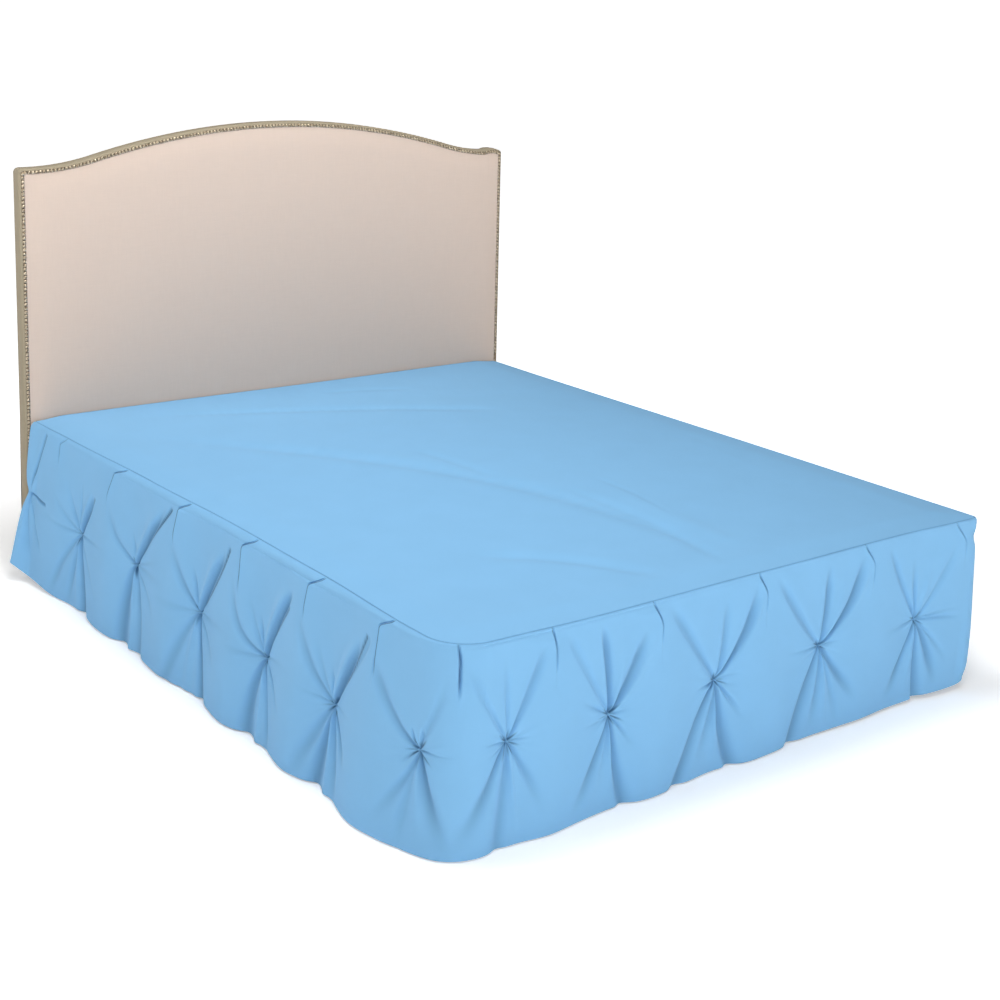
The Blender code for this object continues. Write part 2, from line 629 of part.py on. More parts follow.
def make_headboard(material, collection):
    mesh = flat_outline_mesh("headboard", board_outline(), BOARD_THICKNESS)
    board = add_object("headboard", mesh, material, collection)
    board.rotation_euler = (math.radians(90), 0.0, 0.0)
    board.location.x = BOARD_SHIFT
    board.location.y = BOARD_FRONT + BOARD_THICKNESS / 2
    add_bevel(board, BOARD_EDGE_RADIUS, 3)
    return board


def make_board_legs(material, collection):
    """Two square legs that carry the headboard from the floor."""
    height = BOARD_BOTTOM - FIT_GAP
    legs = []
    for side, sign in (("left", -1), ("right", 1)):
        bm = bmesh.new()
        bmesh.ops.create_cube(bm, size=1.0)
        bmesh.ops.scale(bm, vec=(BOARD_LEG_WIDTH, BOARD_LEG_DEPTH, height), verts=bm.verts)
        name = f"headboard_leg_{side}"
        leg = add_object(name, mesh_from_bmesh(name, bm), material, collection)
        across = BOARD_WIDTH / 2 - BOARD_LEG_WIDTH
        middle = BOARD_SHIFT + sign * across
        leg.location = (middle, BOARD_FRONT + BOARD_THICKNESS / 2, height / 2)
        legs.append(leg)
    return legs


def centre_on_origin(objects):
    """Move everything together so that the whole box stands centred on the origin."""
    bpy.context.view_layer.update()
    depsgraph = bpy.context.evaluated_depsgraph_get()
    corners = []
    for obj in objects:
        evaluated = obj.evaluated_get(depsgraph)
        mesh = evaluated.to_mesh()
        corners.extend(evaluated.matrix_world @ vert.co for vert in mesh.vertices)
        evaluated.to_mesh_clear()
    places = np.array([tuple(corner) for corner in corners])
    middle = (places.min(axis=0) + places.max(axis=0)) / 2
    for obj in objects:
        obj.location -= Vector((middle[0], middle[1], 0.0))


def main():
    clear_scene()
    parts = bpy.data.collections.new("bed_skirt")
    bpy.context.scene.collection.children.link(parts)

    deck_cloth = make_material("deck cloth", (0.285, 0.565, 0.865), 0.75)
    drop_cloth = make_material("pleated drop cloth", (0.235, 0.485, 0.760), 0.75)
    base_cloth = make_material("base cover", (0.62, 0.60, 0.56), 0.85)
    board_cloth = make_material("headboard fabric", (0.60, 0.52, 0.46), 0.80)
    wood = make_material("dark leg wood", (0.06, 0.04, 0.03), 0.50)

    objects = [make_deck(deck_cloth, parts)]
    for name, drop in DROPS.items():
        objects.append(make_drop(name, drop, drop_cloth, parts))
    objects.append(make_base(base_cloth, parts))
    objects.append(make_headboard(board_cloth, parts))
    objects += make_base_legs(wood, parts)
    objects += make_board_legs(wood, parts)
    centre_on_origin(objects)


main()
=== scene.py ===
# %% [markdown]
# # A pinch-pleated bed skirt
#
# A bed skirt is a flat deck sheet that lies on the bed base, with drops sewn round its edge
# that hang to the floor. Here a thread tack gathers each drop into a row of stars, and a
# knife pleat between two stars takes up the spare cloth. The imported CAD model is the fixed
# frame of this lesson: every piece is built where that model says, in metres.

# %% Load the frame
import math
from collections import namedtuple

import bmesh
import bpy
import numpy as np
from mathutils import Matrix, Vector


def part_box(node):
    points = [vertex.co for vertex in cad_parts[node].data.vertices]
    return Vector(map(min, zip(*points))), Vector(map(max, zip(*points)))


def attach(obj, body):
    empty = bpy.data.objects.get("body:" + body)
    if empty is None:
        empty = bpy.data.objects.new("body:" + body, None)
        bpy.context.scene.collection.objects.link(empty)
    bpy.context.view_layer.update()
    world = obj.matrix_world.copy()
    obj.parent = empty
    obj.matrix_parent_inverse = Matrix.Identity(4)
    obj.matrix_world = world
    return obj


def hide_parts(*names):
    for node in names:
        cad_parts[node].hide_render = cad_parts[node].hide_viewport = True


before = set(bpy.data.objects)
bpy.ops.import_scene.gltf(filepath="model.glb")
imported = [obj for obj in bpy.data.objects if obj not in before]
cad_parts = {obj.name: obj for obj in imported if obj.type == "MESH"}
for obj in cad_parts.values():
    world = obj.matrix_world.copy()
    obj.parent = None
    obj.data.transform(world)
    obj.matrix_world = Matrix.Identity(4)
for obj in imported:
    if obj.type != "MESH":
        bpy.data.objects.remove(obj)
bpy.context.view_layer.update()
MM = 0.001

# %% [markdown]
# ## The bed's sizes
#
# The drops hang from the nominal edge of a 1.6 m by 2 m base, whose near corner is rounded
# and whose far corner is sharp. A place on a drop is given by its run, the distance along the
# seam from the head of the left side round the foot, and by how far down it lies. The
# tables of sewn details are in millimetres, as a sewing pattern's are.

# %% The bed's sizes and place
BED_WIDTH = 1.600
BED_LENGTH = 2.000
DECK_HEIGHT = 0.457
HEM_CLEARANCE = 0.005
NEAR_CORNER_RADIUS = 0.090
FAR_CORNER_RADIUS = 0.012
BASE_INSET = 0.024

HALF_WIDTH = BED_WIDTH / 2
HEAD_Y = BED_LENGTH / 2
FOOT_Y = -BED_LENGTH / 2
DROP_DEPTH = DECK_HEIGHT - HEM_CLEARANCE

base_low, base_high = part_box("bed_base")
BED_PLACE = Vector(((base_low.x + base_high.x) / 2, base_low.y - FOOT_Y - BASE_INSET, 0.0))
print("The bed's middle is at", [round(value, 4) for value in BED_PLACE])

# %% Runs where the seam turns, and where the panels meet
LEFT_END = BED_LENGTH - NEAR_CORNER_RADIUS
NEAR_CORNER_END = LEFT_END + NEAR_CORNER_RADIUS * math.pi / 2
FOOT_END = NEAR_CORNER_END + BED_WIDTH - NEAR_CORNER_RADIUS - FAR_CORNER_RADIUS
FAR_CORNER_END = FOOT_END + FAR_CORNER_RADIUS * math.pi / 2
RIGHT_END = FAR_CORNER_END + BED_LENGTH - FAR_CORNER_RADIUS
LEFT_JOIN = 2.036
RIGHT_JOIN = 3.592
print(f"The seam is {RIGHT_END:.3f} m long, from the head of the left side to that of the right")

# %% [markdown]
# ## How the cloth hangs
#
# Each row says how the drop hangs at one run: how far the seam wanders from the nominal edge,
# how big the roll over the edge is, how far the hem flares, how far it lifts off the floor,
# and how much the cloth swells between the stars. A smooth step between the rows keeps the
# hang from showing where the rows are.

# %% The hang table
Hang = namedtuple("Hang", "run wander roll_out roll_down flare lift full_mid full_hem stitch")
HANGS = (
    Hang(0, 18, 14, 20, 84, 48, 6, 4, 0.4),
    Hang(60, 17, 11, 16, 54, 16, 8, 6, 0.5),
    Hang(220, 12, 9, 13, 36, 0, 11, 14, 0.6),
    Hang(700, -2, 14, 20, 44, 0, 12, 20, 0.9),
    Hang(1100, -12, 14, 20, 50, 0, 13, 24, 1.4),
    Hang(1500, -8, 14, 20, 46, 0, 14, 26, 1.8),
    Hang(1850, 5, 9, 13, 52, 0, 12, 22, 1.6),
    Hang(2040, 4, 4, 6.5, 20, 0, 8, 12, 1.6),
    Hang(2300, 10, 4, 6.5, 6, 0, 7, 12, 1.2),
    Hang(2800, 0, 4, 6.5, 4, 0, 7, 13, 0.6),
    Hang(3300, -8, 4, 6.5, 3, 4, 7, 8, 0.5),
    Hang(3520, 0, 5, 8, 6, 12, 6, 6, 0.5),
    Hang(3566, 0, 6, 9, 18, 22, 4, 4, 0.5),
    Hang(3640, 0, 8, 11, 28, 6, 8, 10, 0.8),
    Hang(4400, 3, 9, 12, 24, 0, 9, 16, 1.0),
    Hang(5300, 0, 9, 12, 28, 0, 9, 15, 1.0),
    Hang(5566, 2, 9, 12, 44, 6, 6, 8, 0.8),
)
print(len(HANGS), "rows say how the drops hang")

# %% [markdown]
# ## Tacks, tucks and folds
#
# A pinch is one tack: where it is, how far it draws the cloth in, how far its bud stands up,
# and whose folds it has. A tuck is one knife pleat. Its top end lies a slide along the seam,
# so its crease runs slantwise over the edge, down to the slide's depth, and leans from there.
# It stays sharp for a length and laps over by some millimetres, to the side that over gives.
# Beside it lies a slot, where a dark line of shade is painted: dark gives its place and shade
# how dark it is. The folds of a star are grooves and ridges that leave its tack. Nobody could
# sew them alike, so each star has a short table of its own.

# %% The tacks and the tucks
Pinch = namedtuple("Pinch", "run down pull bud folds")
PINCHES = (
    Pinch(11, 207, 23, 0, "S6"),
    Pinch(316, 244, 9, 3.5, "S5"),
    Pinch(649, 232, 9, 3.5, "S4"),
    Pinch(988, 252, 9, 3.5, "S3"),
    Pinch(1309, 258, 9, 3.5, "S2"),
    Pinch(1607, 259, 9, 3.5, "S1"),
    Pinch(1921, 237, 9, 3.5, "C0"),
    Pinch(2094, 226, 9, 3.5, "F1"),
    Pinch(2365, 235, 9, 3.5, "F2"),
    Pinch(2683, 234, 9, 3.5, "F3"),
    Pinch(3025, 229, 9, 3.5, "F4"),
    Pinch(3371, 236, 9, 3.5, "F5"),
    Pinch(3690, 224, 10, 3.5, "F3"),
    Pinch(4022, 228, 10, 3.5, "F2"),
    Pinch(4358, 222, 11, 3.5, "F4"),
    Pinch(4690, 230, 10, 3.5, "F3"),
    Pinch(5024, 226, 10, 3.5, "F2"),
    Pinch(5352, 224, 9, 3.5, "F5"),
)

Tuck = namedtuple("Tuck", "run slide slide_depth lean sharp lap over dark shade")
TUCKS = (
    Tuck(184, 30, 24, 0, 40, 3.0, -1, -3.0, 0.7),
    Tuck(516, 54, 24, -0.4, 62, 6.5, -1, -3.2, 0.95),
    Tuck(870, 38, 24, -0.1, 72, 7.0, -1, -3.4, 0.95),
    Tuck(1180, 48, 30, 0.2, 88, 7.5, -1, -3.4, 0.95),
    Tuck(1480, 44, 30, 0, 62, 7.0, -1, -3.4, 0.9),
    Tuck(1770, 38, 24, 0.1, 88, 7.0, -1, -3.4, 0.95),
    Tuck(1988, -4, 40, 0, 74, 5.0, 1, 0.5, 0.55),
    Tuck(2206, -8, 55, 0, 58, 6.0, 1, -1.2, 0.9),
    Tuck(2497, -25, 60, 0, 60, 6.0, 1, -1.2, 0.9),
    Tuck(2820, -26, 60, 0, 58, 6.0, 1, -1.2, 0.9),
    Tuck(3186, -32, 60, 0, 62, 6.0, 1, -1.2, 0.9),
    Tuck(3518, -36, 60, 0, 54, 4.5, 1, -1.2, 0.8),
    Tuck(3852, -26, 50, 0, 58, 5.5, 1, 0, 0.8),
    Tuck(4190, -28, 50, 0, 64, 6.0, 1, 0, 0.8),
    Tuck(4524, -24, 50, 0, 60, 6.0, 1, 0, 0.8),
    Tuck(4856, -30, 50, 0, 56, 5.5, 1, 0, 0.8),
    Tuck(5192, -26, 50, 0, 62, 6.0, 1, 0, 0.8),
    Tuck(5480, -20, 50, 0, 46, 4.0, 1, 0, 0.8),
)
print(len(PINCHES), "tacks and", len(TUCKS), "tucks")

# %% The folds of each star
# From the tack through a middle point to an end, in millimetres along and down from it. A
# negative rise is a groove. The width goes from root through middle to tip, and a fold dies
# away from the share of its length that fade gives. Skew widens the right flank. The next
# column is shade painted into the groove, a darker colour where its shadow would fall, which
# follows from the rise where no row says it, and near is the share of the rise that is left
# beside the tack.
Fold = namedtuple("Fold", "mid_along mid_down end_along end_down rise root middle tip fade "
                          "skew pressed near", defaults=(0, None, 1))
# How much shade is painted into grooves down to each rise; ridges get none.
PAINTED_SHADE_BY_RISE = ((-9.5, 0.35), (-6.5, 0.2), (0.0, 0.1))
FOLD_ROWS = {
    "S6": (
        (44, -98, 88, -190, -6.5, 2.2, 2.6, 2.2, 1, 0.2, 0.6, 0.5),
        (64, 0, 128, 2, -6, 1.8, 2.6, 3, 0.8, 0, 0.35, 1.2),
        (50, 70, 110, 150, -4, 2, 4, 8, 0.8),
        (14, 80, 30, 190, -8, 2.5, 8, 14, 0.8, 0, 0.1, 1.2),
        (30, -40, 50, -75, 4, 4, 8, 10, 0.6, 0, 0, 0.8),
    ),
    "S5": (
        (60, -73, 96, -124, -4, 2.2, 3.8, 3.4, 1, 0, 0.8, 0.6),
        (-92, -52, -150, -104, -3, 3, 8, 12, 0.2),
        (-42, -74, -76, -156, -5, 3, 9, 12, 0.3),
        (12, -96, 22, -170, -5, 3, 7, 9, 0.2),
        (44, -76, 76, -136, 6, 4, 11, 9, 0.6, -0.5),
        (58, -78, 88, -140, -11.5, 4, 10, 6, 0.6, 0.2),
        (-74, 91, -150, 226, -6.5, 3, 10, 20, 0.6),
        (-20, 91, -50, 228, -6.5, 3, 8, 16, 0.6),
        (4, 100, 6, 232, 4, 3, 8, 14, 0.6),
        (30, 107, 48, 236, -11.5, 4, 13, 24, 1, 0.2),
        (90, 75, 184, 161, -3, 3, 8, 14, 0.2),
        (-100, -6, -220, -16, -3, 3, 8, 12, 0.1),
        (120, -12, 220, -12, -3, 3, 8, 12, 0.1),
    ),
    "S4": (
        (96, -102, 183, -196, -6, 2.2, 4, 4, 1, 0, 0.95, 0.6),
        (-100, -62, -150, -150, -5.5, 3, 10, 13, 0.4),
        (-6, -50, -18, -96, -6.5, 3, 6, 8, 0.2),
        (24, -70, 46, -150, 3.5, 3, 12, 16, 0.1),
        (66, -100, 142, -192, 7.5, 4, 13, 10, 0.6, -0.5),
        (82, -104, 160, -196, -12.5, 4, 9, 6, 0.6, 0.2),
        (-30, 76, -44, 232, -12.5, 4, 15, 26, 1, 0.2),
        (10, 96, 8, 234, 6, 3, 9, 15, 1),
        (44, 90, 58, 232, -8.5, 4, 13, 24, 1),
        (108, 56, 178, 120, -3, 3, 9, 14, 0.2),
        (106, -40, 190, -70, -3, 3, 9, 12, 0.1),
        (110, -6, 220, 0, -3, 4, 12, 14, 0.1),
    ),
    "S3": (
        (81, -92, 134, -198, -5, 2.2, 4, 4, 1, 0, 0.95, 0.6),
        (-72, -68, -146, -166, -6.5, 3, 11, 16, 0.5),
        (-18, -62, -36, -118, -7.5, 3, 6, 8, 0.4),
        (16, -80, 30, -160, 3.5, 3, 12, 18, 0.1),
        (54, -106, 98, -190, 8.5, 5, 13, 10, 0.6, -0.5),
        (70, -110, 116, -194, -13.5, 4, 9, 6, 0.6, 0.2),
        (-51, 82, -112, 224, -6.5, 3, 13, 26, 1),
        (-12, 100, -18, 236, 5, 3, 12, 20, 1),
        (30, 110, 58, 232, -11.5, 4, 12, 22, 1, 0.3),
        (88, 56, 156, 108, -4, 3, 9, 16, 0.2),
        (-100, 6, -210, 14, -3, 4, 12, 14, 0.1),
        (110, -10, 220, -4, -3, 4, 11, 14, 0.1),
    ),
    "S2": (
        (54, -82, 101, -154, -4, 2.2, 3.6, 3.6, 1, 0, 0.85, 0.6),
        (-104, -62, -152, -176, -6.5, 3, 11, 14, 0.5),
        (-50, -84, -78, -160, -4, 3, 8, 12, 0.2),
        (-16, -56, -24, -102, -7.5, 2.5, 4.5, 6, 0.4),
        (14, -80, 24, -160, 3.5, 3, 12, 18, 0.1),
        (50, -128, 92, -190, 8.5, 5, 13, 10, 0.6, -0.5),
        (68, -132, 110, -198, -13.5, 4, 9, 6, 0.6, 0.2),
        (-34, 96, -44, 230, -12.5, 4, 15, 28, 1, 0.2),
        (8, 100, 12, 232, 6, 3, 9, 16, 1),
        (36, 108, 70, 226, -7.5, 3, 8, 14, 0.6),
        (70, 44, 140, 96, -5.5, 3, 6, 10, 0.3),
        (-90, 6, -190, 10, -3, 3, 8, 12, 0.1),
        (70, -22, 170, -26, -3, 3, 8, 12, 0.1),
    ),
    "S1": (
        (73, -97, 121, -197, -4, 2.2, 3.6, 3.6, 1, 0, 0.85, 0.6),
        (-86, -78, -152, -180, -6.5, 3, 11, 14, 0.5),
        (-46, -78, -74, -156, -4, 3, 8, 12, 0.2),
        (-2, -43, -10, -88, -7.5, 2.5, 5, 7, 0.4),
        (18, -80, 30, -160, 3.5, 3, 12, 18, 0.1),
        (46, -96, 86, -186, 8.5, 5, 13, 10, 0.6, -0.5),
        (60, -100, 104, -192, -13.5, 4, 10, 5, 0.6, 0.2),
        (116, -150, 122, -204, -5, 3, 5, 5, 0.7),
        (-40, 70, -120, 226, -8.5, 3, 11, 22, 0.6),
        (-14, 76, -40, 226, -12.5, 3, 11, 26, 1, 0.2),
        (12, 96, 16, 230, 5, 3, 8, 14, 1),
        (32, 90, 64, 228, -8.5, 3, 11, 20, 0.6),
        (60, 52, 112, 110, -9.5, 3, 8, 14, 0.4),
        (-60, -8, -124, -12, -3, 2.5, 5, 7, 0.1),
        (60, -8, 130, -10, -3, 2.5, 6, 8, 0.1),
    ),
    "C0": (
        (-90, -72, -156, -160, -7.5, 3, 12, 14, 0.6),
        (-10, -24, -16, -48, -6.5, 2, 2.2, 3, 0.5),
        (8, -32, 11, -60, -6.5, 2, 2.4, 4, 0.5),
        (34, -100, 54, -190, -5, 3, 7, 9, 0.4),
        (-25, 74, -110, 200, -8.5, 2.2, 8, 18, 0.5, 0.2),
        (8, 90, 14, 230, 4, 3, 6, 12, 0.6),
        (22, 66, 62, 222, -11.5, 2.5, 9, 16, 0.6, -0.2),
        (-12, 110, -20, 228, -5, 3, 9, 16, 0.6),
        (36, -5, 78, -4, -3, 2, 2.6, 3, 0.3),
        (-21, 22, -44, 40, -5, 2, 2.6, 3, 0.2),
        (-22, -6, -48, -14, -4, 2, 3, 4, 0.2),
    ),
    "F1": (
        (-62, -112, -92, -204, -5.5, 2.5, 7, 9, 0.6),
        (-12, -12, -26, -27, -6.5, 2, 2.4, 3, 0.6),
        (-6, -104, -8, -196, -5.5, 2.2, 7, 9, 0.4),
        (58, -118, 90, -200, -8.5, 2.5, 9, 8, 0.6),
        (-46, 66, -112, 222, -9.5, 2.4, 9, 18, 0.6, 0.1),
        (-12, 96, -30, 226, -8.5, 3, 12, 20, 1, -0.1),
        (8, 110, 20, 228, 4, 3, 6, 10, 0.6),
        (36, 68, 88, 180, -8.5, 2.4, 8, 14, 0.5, 0.1),
        (9, 24, 18, 50, -5, 2, 2.4, 3, 0.5),
        (-38, -7, -78, -12, -4, 2, 2.8, 4, 0.2),
        (-30, 12, -62, 22, -3, 2, 2.8, 4, 0.2),
        (26, -3, 60, -5, -3, 2, 2.8, 4, 0.1),
    ),
    "F2": (
        (-77, -125, -128, -216, -5.5, 2.5, 9, 8, 0.7),
        (-12, -12, -28, -26, -5.5, 2, 2.6, 3, 0.6),
        (-16, -130, -38, -214, -12.5, 3, 9, 6, 0.6, 0.1),
        (22, -90, 34, -176, 3.5, 3, 9, 12, 0.2),
        (58, -94, 92, -182, -10.5, 3, 11, 8, 0.6, -0.1),
        (84, -100, 124, -196, 3.5, 3, 7, 8, 0.3),
        (-34, 78, -116, 212, -9.5, 2.5, 10, 18, 0.6, 0.2),
        (-14, 84, -36, 176, -5.5, 2.5, 6, 12, 0.3),
        (2, 100, 6, 226, 4, 2.5, 7, 14, 0.6),
        (14, 104, 46, 224, -10.5, 2.5, 9, 18, 1, 0.2),
        (28, 36, 72, 92, -6.5, 2, 4, 8, 0.3),
        (-46, -30, -88, -58, -5, 2.5, 5, 7, 0.3),
        (-44, 6, -89, 4, -3, 2, 4, 6, 0.2),
        (30, -4, 66, -6, -3, 2, 4, 6, 0.1),
    ),
    "F3": (
        (-84, -110, -164, -218, -7.5, 3, 11, 9, 0.7),
        (-16, -12, -36, -26, -5, 2, 3, 4, 0.4),
        (16, -100, 14, -200, -6.5, 3, 9, 10, 0.6),
        (50, -100, 66, -196, 3.5, 3, 12, 12, 0.2),
        (82, -108, 104, -212, -12.5, 3, 11, 6, 0.6, -0.1),
        (98, -112, 124, -208, 4, 3, 6, 7, 0.5),
        (-54, 78, -124, 224, -11.5, 3, 13, 20, 1, 0.2),
        (-18, 88, -52, 184, -6.5, 3, 9, 16, 0.5),
        (-2, 100, 4, 226, 5, 2.5, 8, 16, 0.6),
        (16, 104, 58, 226, -12.5, 3, 12, 17, 1, 0.2),
        (40, 50, 92, 118, -7.5, 2.2, 5, 9, 0.4),
        (-40, 4, -72, 4, -5, 2.4, 4, 5, 0.2),
        (40, -8, 78, -9, -4, 2.4, 5, 6, 0.2),
        (30, 12, 60, 20, -3, 2, 4, 5, 0.2),
    ),
    "F4": (
        (-92, -101, -168, -208, -7.5, 3, 10, 8, 0.7),
        (-18, -10, -40, -22, -5, 2, 3, 4, 0.4),
        (12, -106, 0, -208, -9.5, 3, 10, 9, 0.6),
        (52, -96, 70, -198, 4, 3, 12, 12, 0.3),
        (98, -104, 124, -214, -12.5, 3, 11, 8, 0.6, -0.1),
        (114, -104, 146, -206, 4, 3, 7, 8, 0.5),
        (-40, 82, -90, 228, -12.5, 3, 15, 20, 1, 0.2),
        (-2, 104, -18, 212, -6.5, 3, 10, 16, 0.6),
        (18, 104, 26, 228, 5, 2.5, 8, 14, 0.6),
        (44, 120, 80, 228, -5, 3, 8, 14, 0.5),
        (60, 78, 136, 168, -10.5, 3, 10, 12, 0.5),
        (-60, -6, -140, -13, -4, 2, 5, 7, 0.2),
        (36, -4, 76, -8, -3, 2, 4, 6, 0.1),
        (-40, 10, -76, 18, -3, 2, 4, 6, 0.1),
    ),
    "F5": (
        (-78, -125, -126, -214, -7.5, 3, 8, 7, 0.6),
        (-18, -85, -33, -180, -7.5, 2.5, 6, 10, 0.4),
        (24, -100, 36, -190, 3.5, 3, 12, 14, 0.3),
        (78, -108, 118, -188, -5.5, 3, 9, 9, 0.5),
        (-39, 78, -100, 200, -9.5, 3, 8, 18, 0.6, 0.2),
        (-14, 100, -26, 224, 4, 3, 9, 14, 0.6),
        (5, 100, 20, 224, -11.5, 3, 9, 16, 1, 0.4),
        (40, 78, 84, 200, -9.5, 3, 9, 16, 0.6),
        (66, 70, 120, 144, -5, 2.5, 6, 10, 0.3),
        (80, -10, 170, -10, -3, 2.5, 6, 8, 0.2),
        (80, 5, 170, 16, -5, 2.5, 6, 8, 0.4),
        (-60, 4, -144, 10, -4, 2.5, 7, 10, 0.2),
    ),
}


def painted_shade_by(rise):
    """How much shade is painted into a groove of this rise; a ridge gets none."""
    return next((pressed for limit, pressed in PAINTED_SHADE_BY_RISE if rise <= limit), 0)


def fold_of(row):
    """One row as a fold, with its painted shade filled in."""
    fold = Fold(*row)
    return fold if fold.pressed is not None else fold._replace(pressed=painted_shade_by(fold.rise))


FOLDS = {star: tuple(map(fold_of, rows)) for star, rows in FOLD_ROWS.items()}
print(sum(len(folds) for folds in FOLDS.values()), "folds in", len(FOLDS), "stars")

# %% The short creases round every tack
# The thread draws the cloth so tight that short, sharp creases stand round it. They are alike
# at every tack, only turned and stretched a little. The angle is in degrees from along the
# seam, down the drop; the length and the rise are in millimetres. The last column is the
# shade painted into each crease.
Short = namedtuple("Short", "angle length rise pressed")
SHORTS = (
    Short(-155, 30, -3.0, 0.7),
    Short(-120, 26, -3.0, 0.7),
    Short(-82, 36, -3.5, 0.6),
    Short(-50, 34, -3.5, 0.9),
    Short(-10, 34, -2.0, 0.4),
    Short(28, 36, -3.0, 0.7),
    Short(58, 40, -3.5, 0.9),
    Short(88, 44, -3.0, 0.5),
    Short(122, 42, -3.5, 0.9),
    Short(172, 34, -2.0, 0.4),
)
SHORT_TURN = 9.0
SHORT_STRETCH = 0.22
SHORT_WIDTHS = (1.2, 2.4, 1.4)
SHORT_FADE = 0.3


def short_creases(pinch):
    """The short creases of one tack as folds; a tack with no bud has none."""
    folds = []
    for place, short in enumerate(SHORTS):
        angle = math.radians(short.angle + SHORT_TURN * math.sin(pinch.run + 2.0 * place))
        length = short.length * (1.0 + SHORT_STRETCH * math.sin(1.7 * pinch.run + 3.0 * place))
        along, down = length * math.cos(angle), length * math.sin(angle)
        folds.append(Fold(along / 2, down / 2, along, down, short.rise, *SHORT_WIDTHS,
                          SHORT_FADE, pressed=short.pressed))
    return tuple(folds) if pinch.bud > 0 else ()

# %% [markdown]
# ## The cloth as a function
#
# The drop is a height over a plain hanging sheet, so one function of run and depth gives the
# whole surface. That is quicker and tidier than a cloth simulation here, because the stars
# have to stay where they are sewn.

# %% The plain hang
def smooth(t):
    """A smooth step from 0 to 1."""
    t = np.clip(t, 0.0, 1.0)
    return t * t * (3.0 - 2.0 * t)


def hang_value(run, column):
    """Read one column of the hang table at a run in metres, smoothly between its rows."""
    stations = np.array([row.run for row in HANGS], float)
    values = np.array([getattr(row, column) for row in HANGS], float)
    at = np.clip(np.asarray(run, float) / MM, stations[0], stations[-1])
    row = np.clip(np.searchsorted(stations, at, side="right") - 1, 0, len(stations) - 2)
    share = smooth((at - stations[row]) / (stations[row + 1] - stations[row]))
    return values[row] * (1.0 - share) + values[row + 1] * share


def seam_path(run):
    """Plan position and outward normal of the nominal edge at each run."""
    run = np.asarray(run, float)
    near = np.clip((run - LEFT_END) / NEAR_CORNER_RADIUS, 0.0, math.pi / 2)
    far = np.clip((run - FOOT_END) / FAR_CORNER_RADIUS, 0.0, math.pi / 2)
    turn = near + far
    left = np.minimum(run, LEFT_END)
    foot = np.clip(run, NEAR_CORNER_END, FOOT_END) - NEAR_CORNER_END
    right = np.maximum(run, FAR_CORNER_END) - FAR_CORNER_END
    x = -HALF_WIDTH + NEAR_CORNER_RADIUS * (1.0 - np.cos(near)) + foot
    x = x + FAR_CORNER_RADIUS * np.sin(far)
    y = HEAD_Y - left - NEAR_CORNER_RADIUS * np.sin(near)
    y = y + FAR_CORNER_RADIUS * (1.0 - np.cos(far)) + right
    return x, y, -np.cos(turn), -np.sin(turn)


def hang_out(run, down):
    """Outward distance of the plain hanging cloth from the nominal edge, in metres."""
    curl = 1.0 - np.clip(down / hang_value(run, "roll_down"), 0.0, 1.0)
    roll = hang_value(run, "roll_out") * np.sqrt(1.0 - curl ** 2)
    flare = hang_value(run, "flare") * (down * MM / DROP_DEPTH) ** 1.15
    return (hang_value(run, "wander") + roll + flare) * MM


print("At mid foot the hem hangs", round(float(hang_out(2.8, 449.0)) / MM, 1), "mm out")

# %% [markdown]
# ## One fold
#
# A fold follows a quadratic curve from its tack. Its cross-section is a bell whose width
# grows outwards, as the cloth opens. A narrow, deep bell near the tack makes the dark slits
# there, because hardly any light gets to its bottom, and shade painted along the groove's
# bottom darkens them further.

# %% One fold
RAY_START = 5.0
NEAR_SHARE = 0.35
CURVE_POINTS = 17
PAINTED_SHADE_SHARE = 0.8
BELL_REACH = 2.5


def curve_through(start, mid, end, count):
    """Shares and points of a quadratic curve that passes its middle point half way."""
    start, mid, end = (np.array(point, float) for point in (start, mid, end))
    bend = 2.0 * mid - (start + end) / 2.0
    t = np.linspace(0.0, 1.0, count)[:, None]
    return t[:, 0], (1.0 - t) ** 2 * start + 2.0 * t * (1.0 - t) * bend + t * t * end


def fold_relief(run, down, pinch, fold, narrowest):
    """Height of one fold in millimetres, and the shade painted along it."""
    _, points = curve_through((0.0, 0.0), (fold.mid_along, fold.mid_down),
                              (fold.end_along, fold.end_down), CURVE_POINTS)
    points = points + (pinch.run, pinch.down)
    relief, pressed = np.zeros_like(run), np.zeros_like(run)
    widest = max(fold.root, fold.middle, fold.tip, narrowest.max())
    margin = BELL_REACH * (1.0 + abs(fold.skew)) * widest
    low, high = points.min(axis=0) - margin, points.max(axis=0) + margin
    near = (run > low[0]) & (run < high[0]) & (down > low[1]) & (down < high[1])
    if not near.any():
        return relief, pressed

    place = np.stack([run[near], down[near]], axis=1)[:, None, :]
    start, step = points[:-1], np.diff(points, axis=0)
    length = (step ** 2).sum(axis=1)
    share = np.clip(((place - start) * step).sum(axis=2) / length, 0.0, 1.0)
    gap = place - start - share[:, :, None] * step
    distance = np.sqrt((gap ** 2).sum(axis=2))
    nearest = distance.argmin(axis=1)
    rows = np.arange(len(nearest))
    along = (nearest + share[rows, nearest]) / len(step)
    to_right = np.sign(gap[rows, nearest, 0])
    distance = distance[rows, nearest]

    ends = fold.root * (1.0 - along) + fold.tip * along
    width = ends + 4.0 * along * (1.0 - along) * (fold.middle - (fold.root + fold.tip) / 2.0)
    width = np.maximum(width * (1.0 + fold.skew * to_right), narrowest[near])
    reach = np.hypot(*(points[-1] - points[0]))
    envelope = smooth(along * reach / RAY_START)
    envelope = envelope * (fold.near + (1.0 - fold.near) * smooth(along / NEAR_SHARE))
    if fold.fade < 1.0:
        envelope = envelope * (1.0 - smooth((along - fold.fade) / (1.0 - fold.fade)))
    relief[near] = fold.rise * envelope * np.exp(-(distance / width) ** 2)
    # A narrower bell of painted shade lies along the bottom of the fold.
    pressed[near] = fold.pressed * envelope * np.exp(-(distance / (PAINTED_SHADE_SHARE * width)) ** 2)
    return relief, pressed


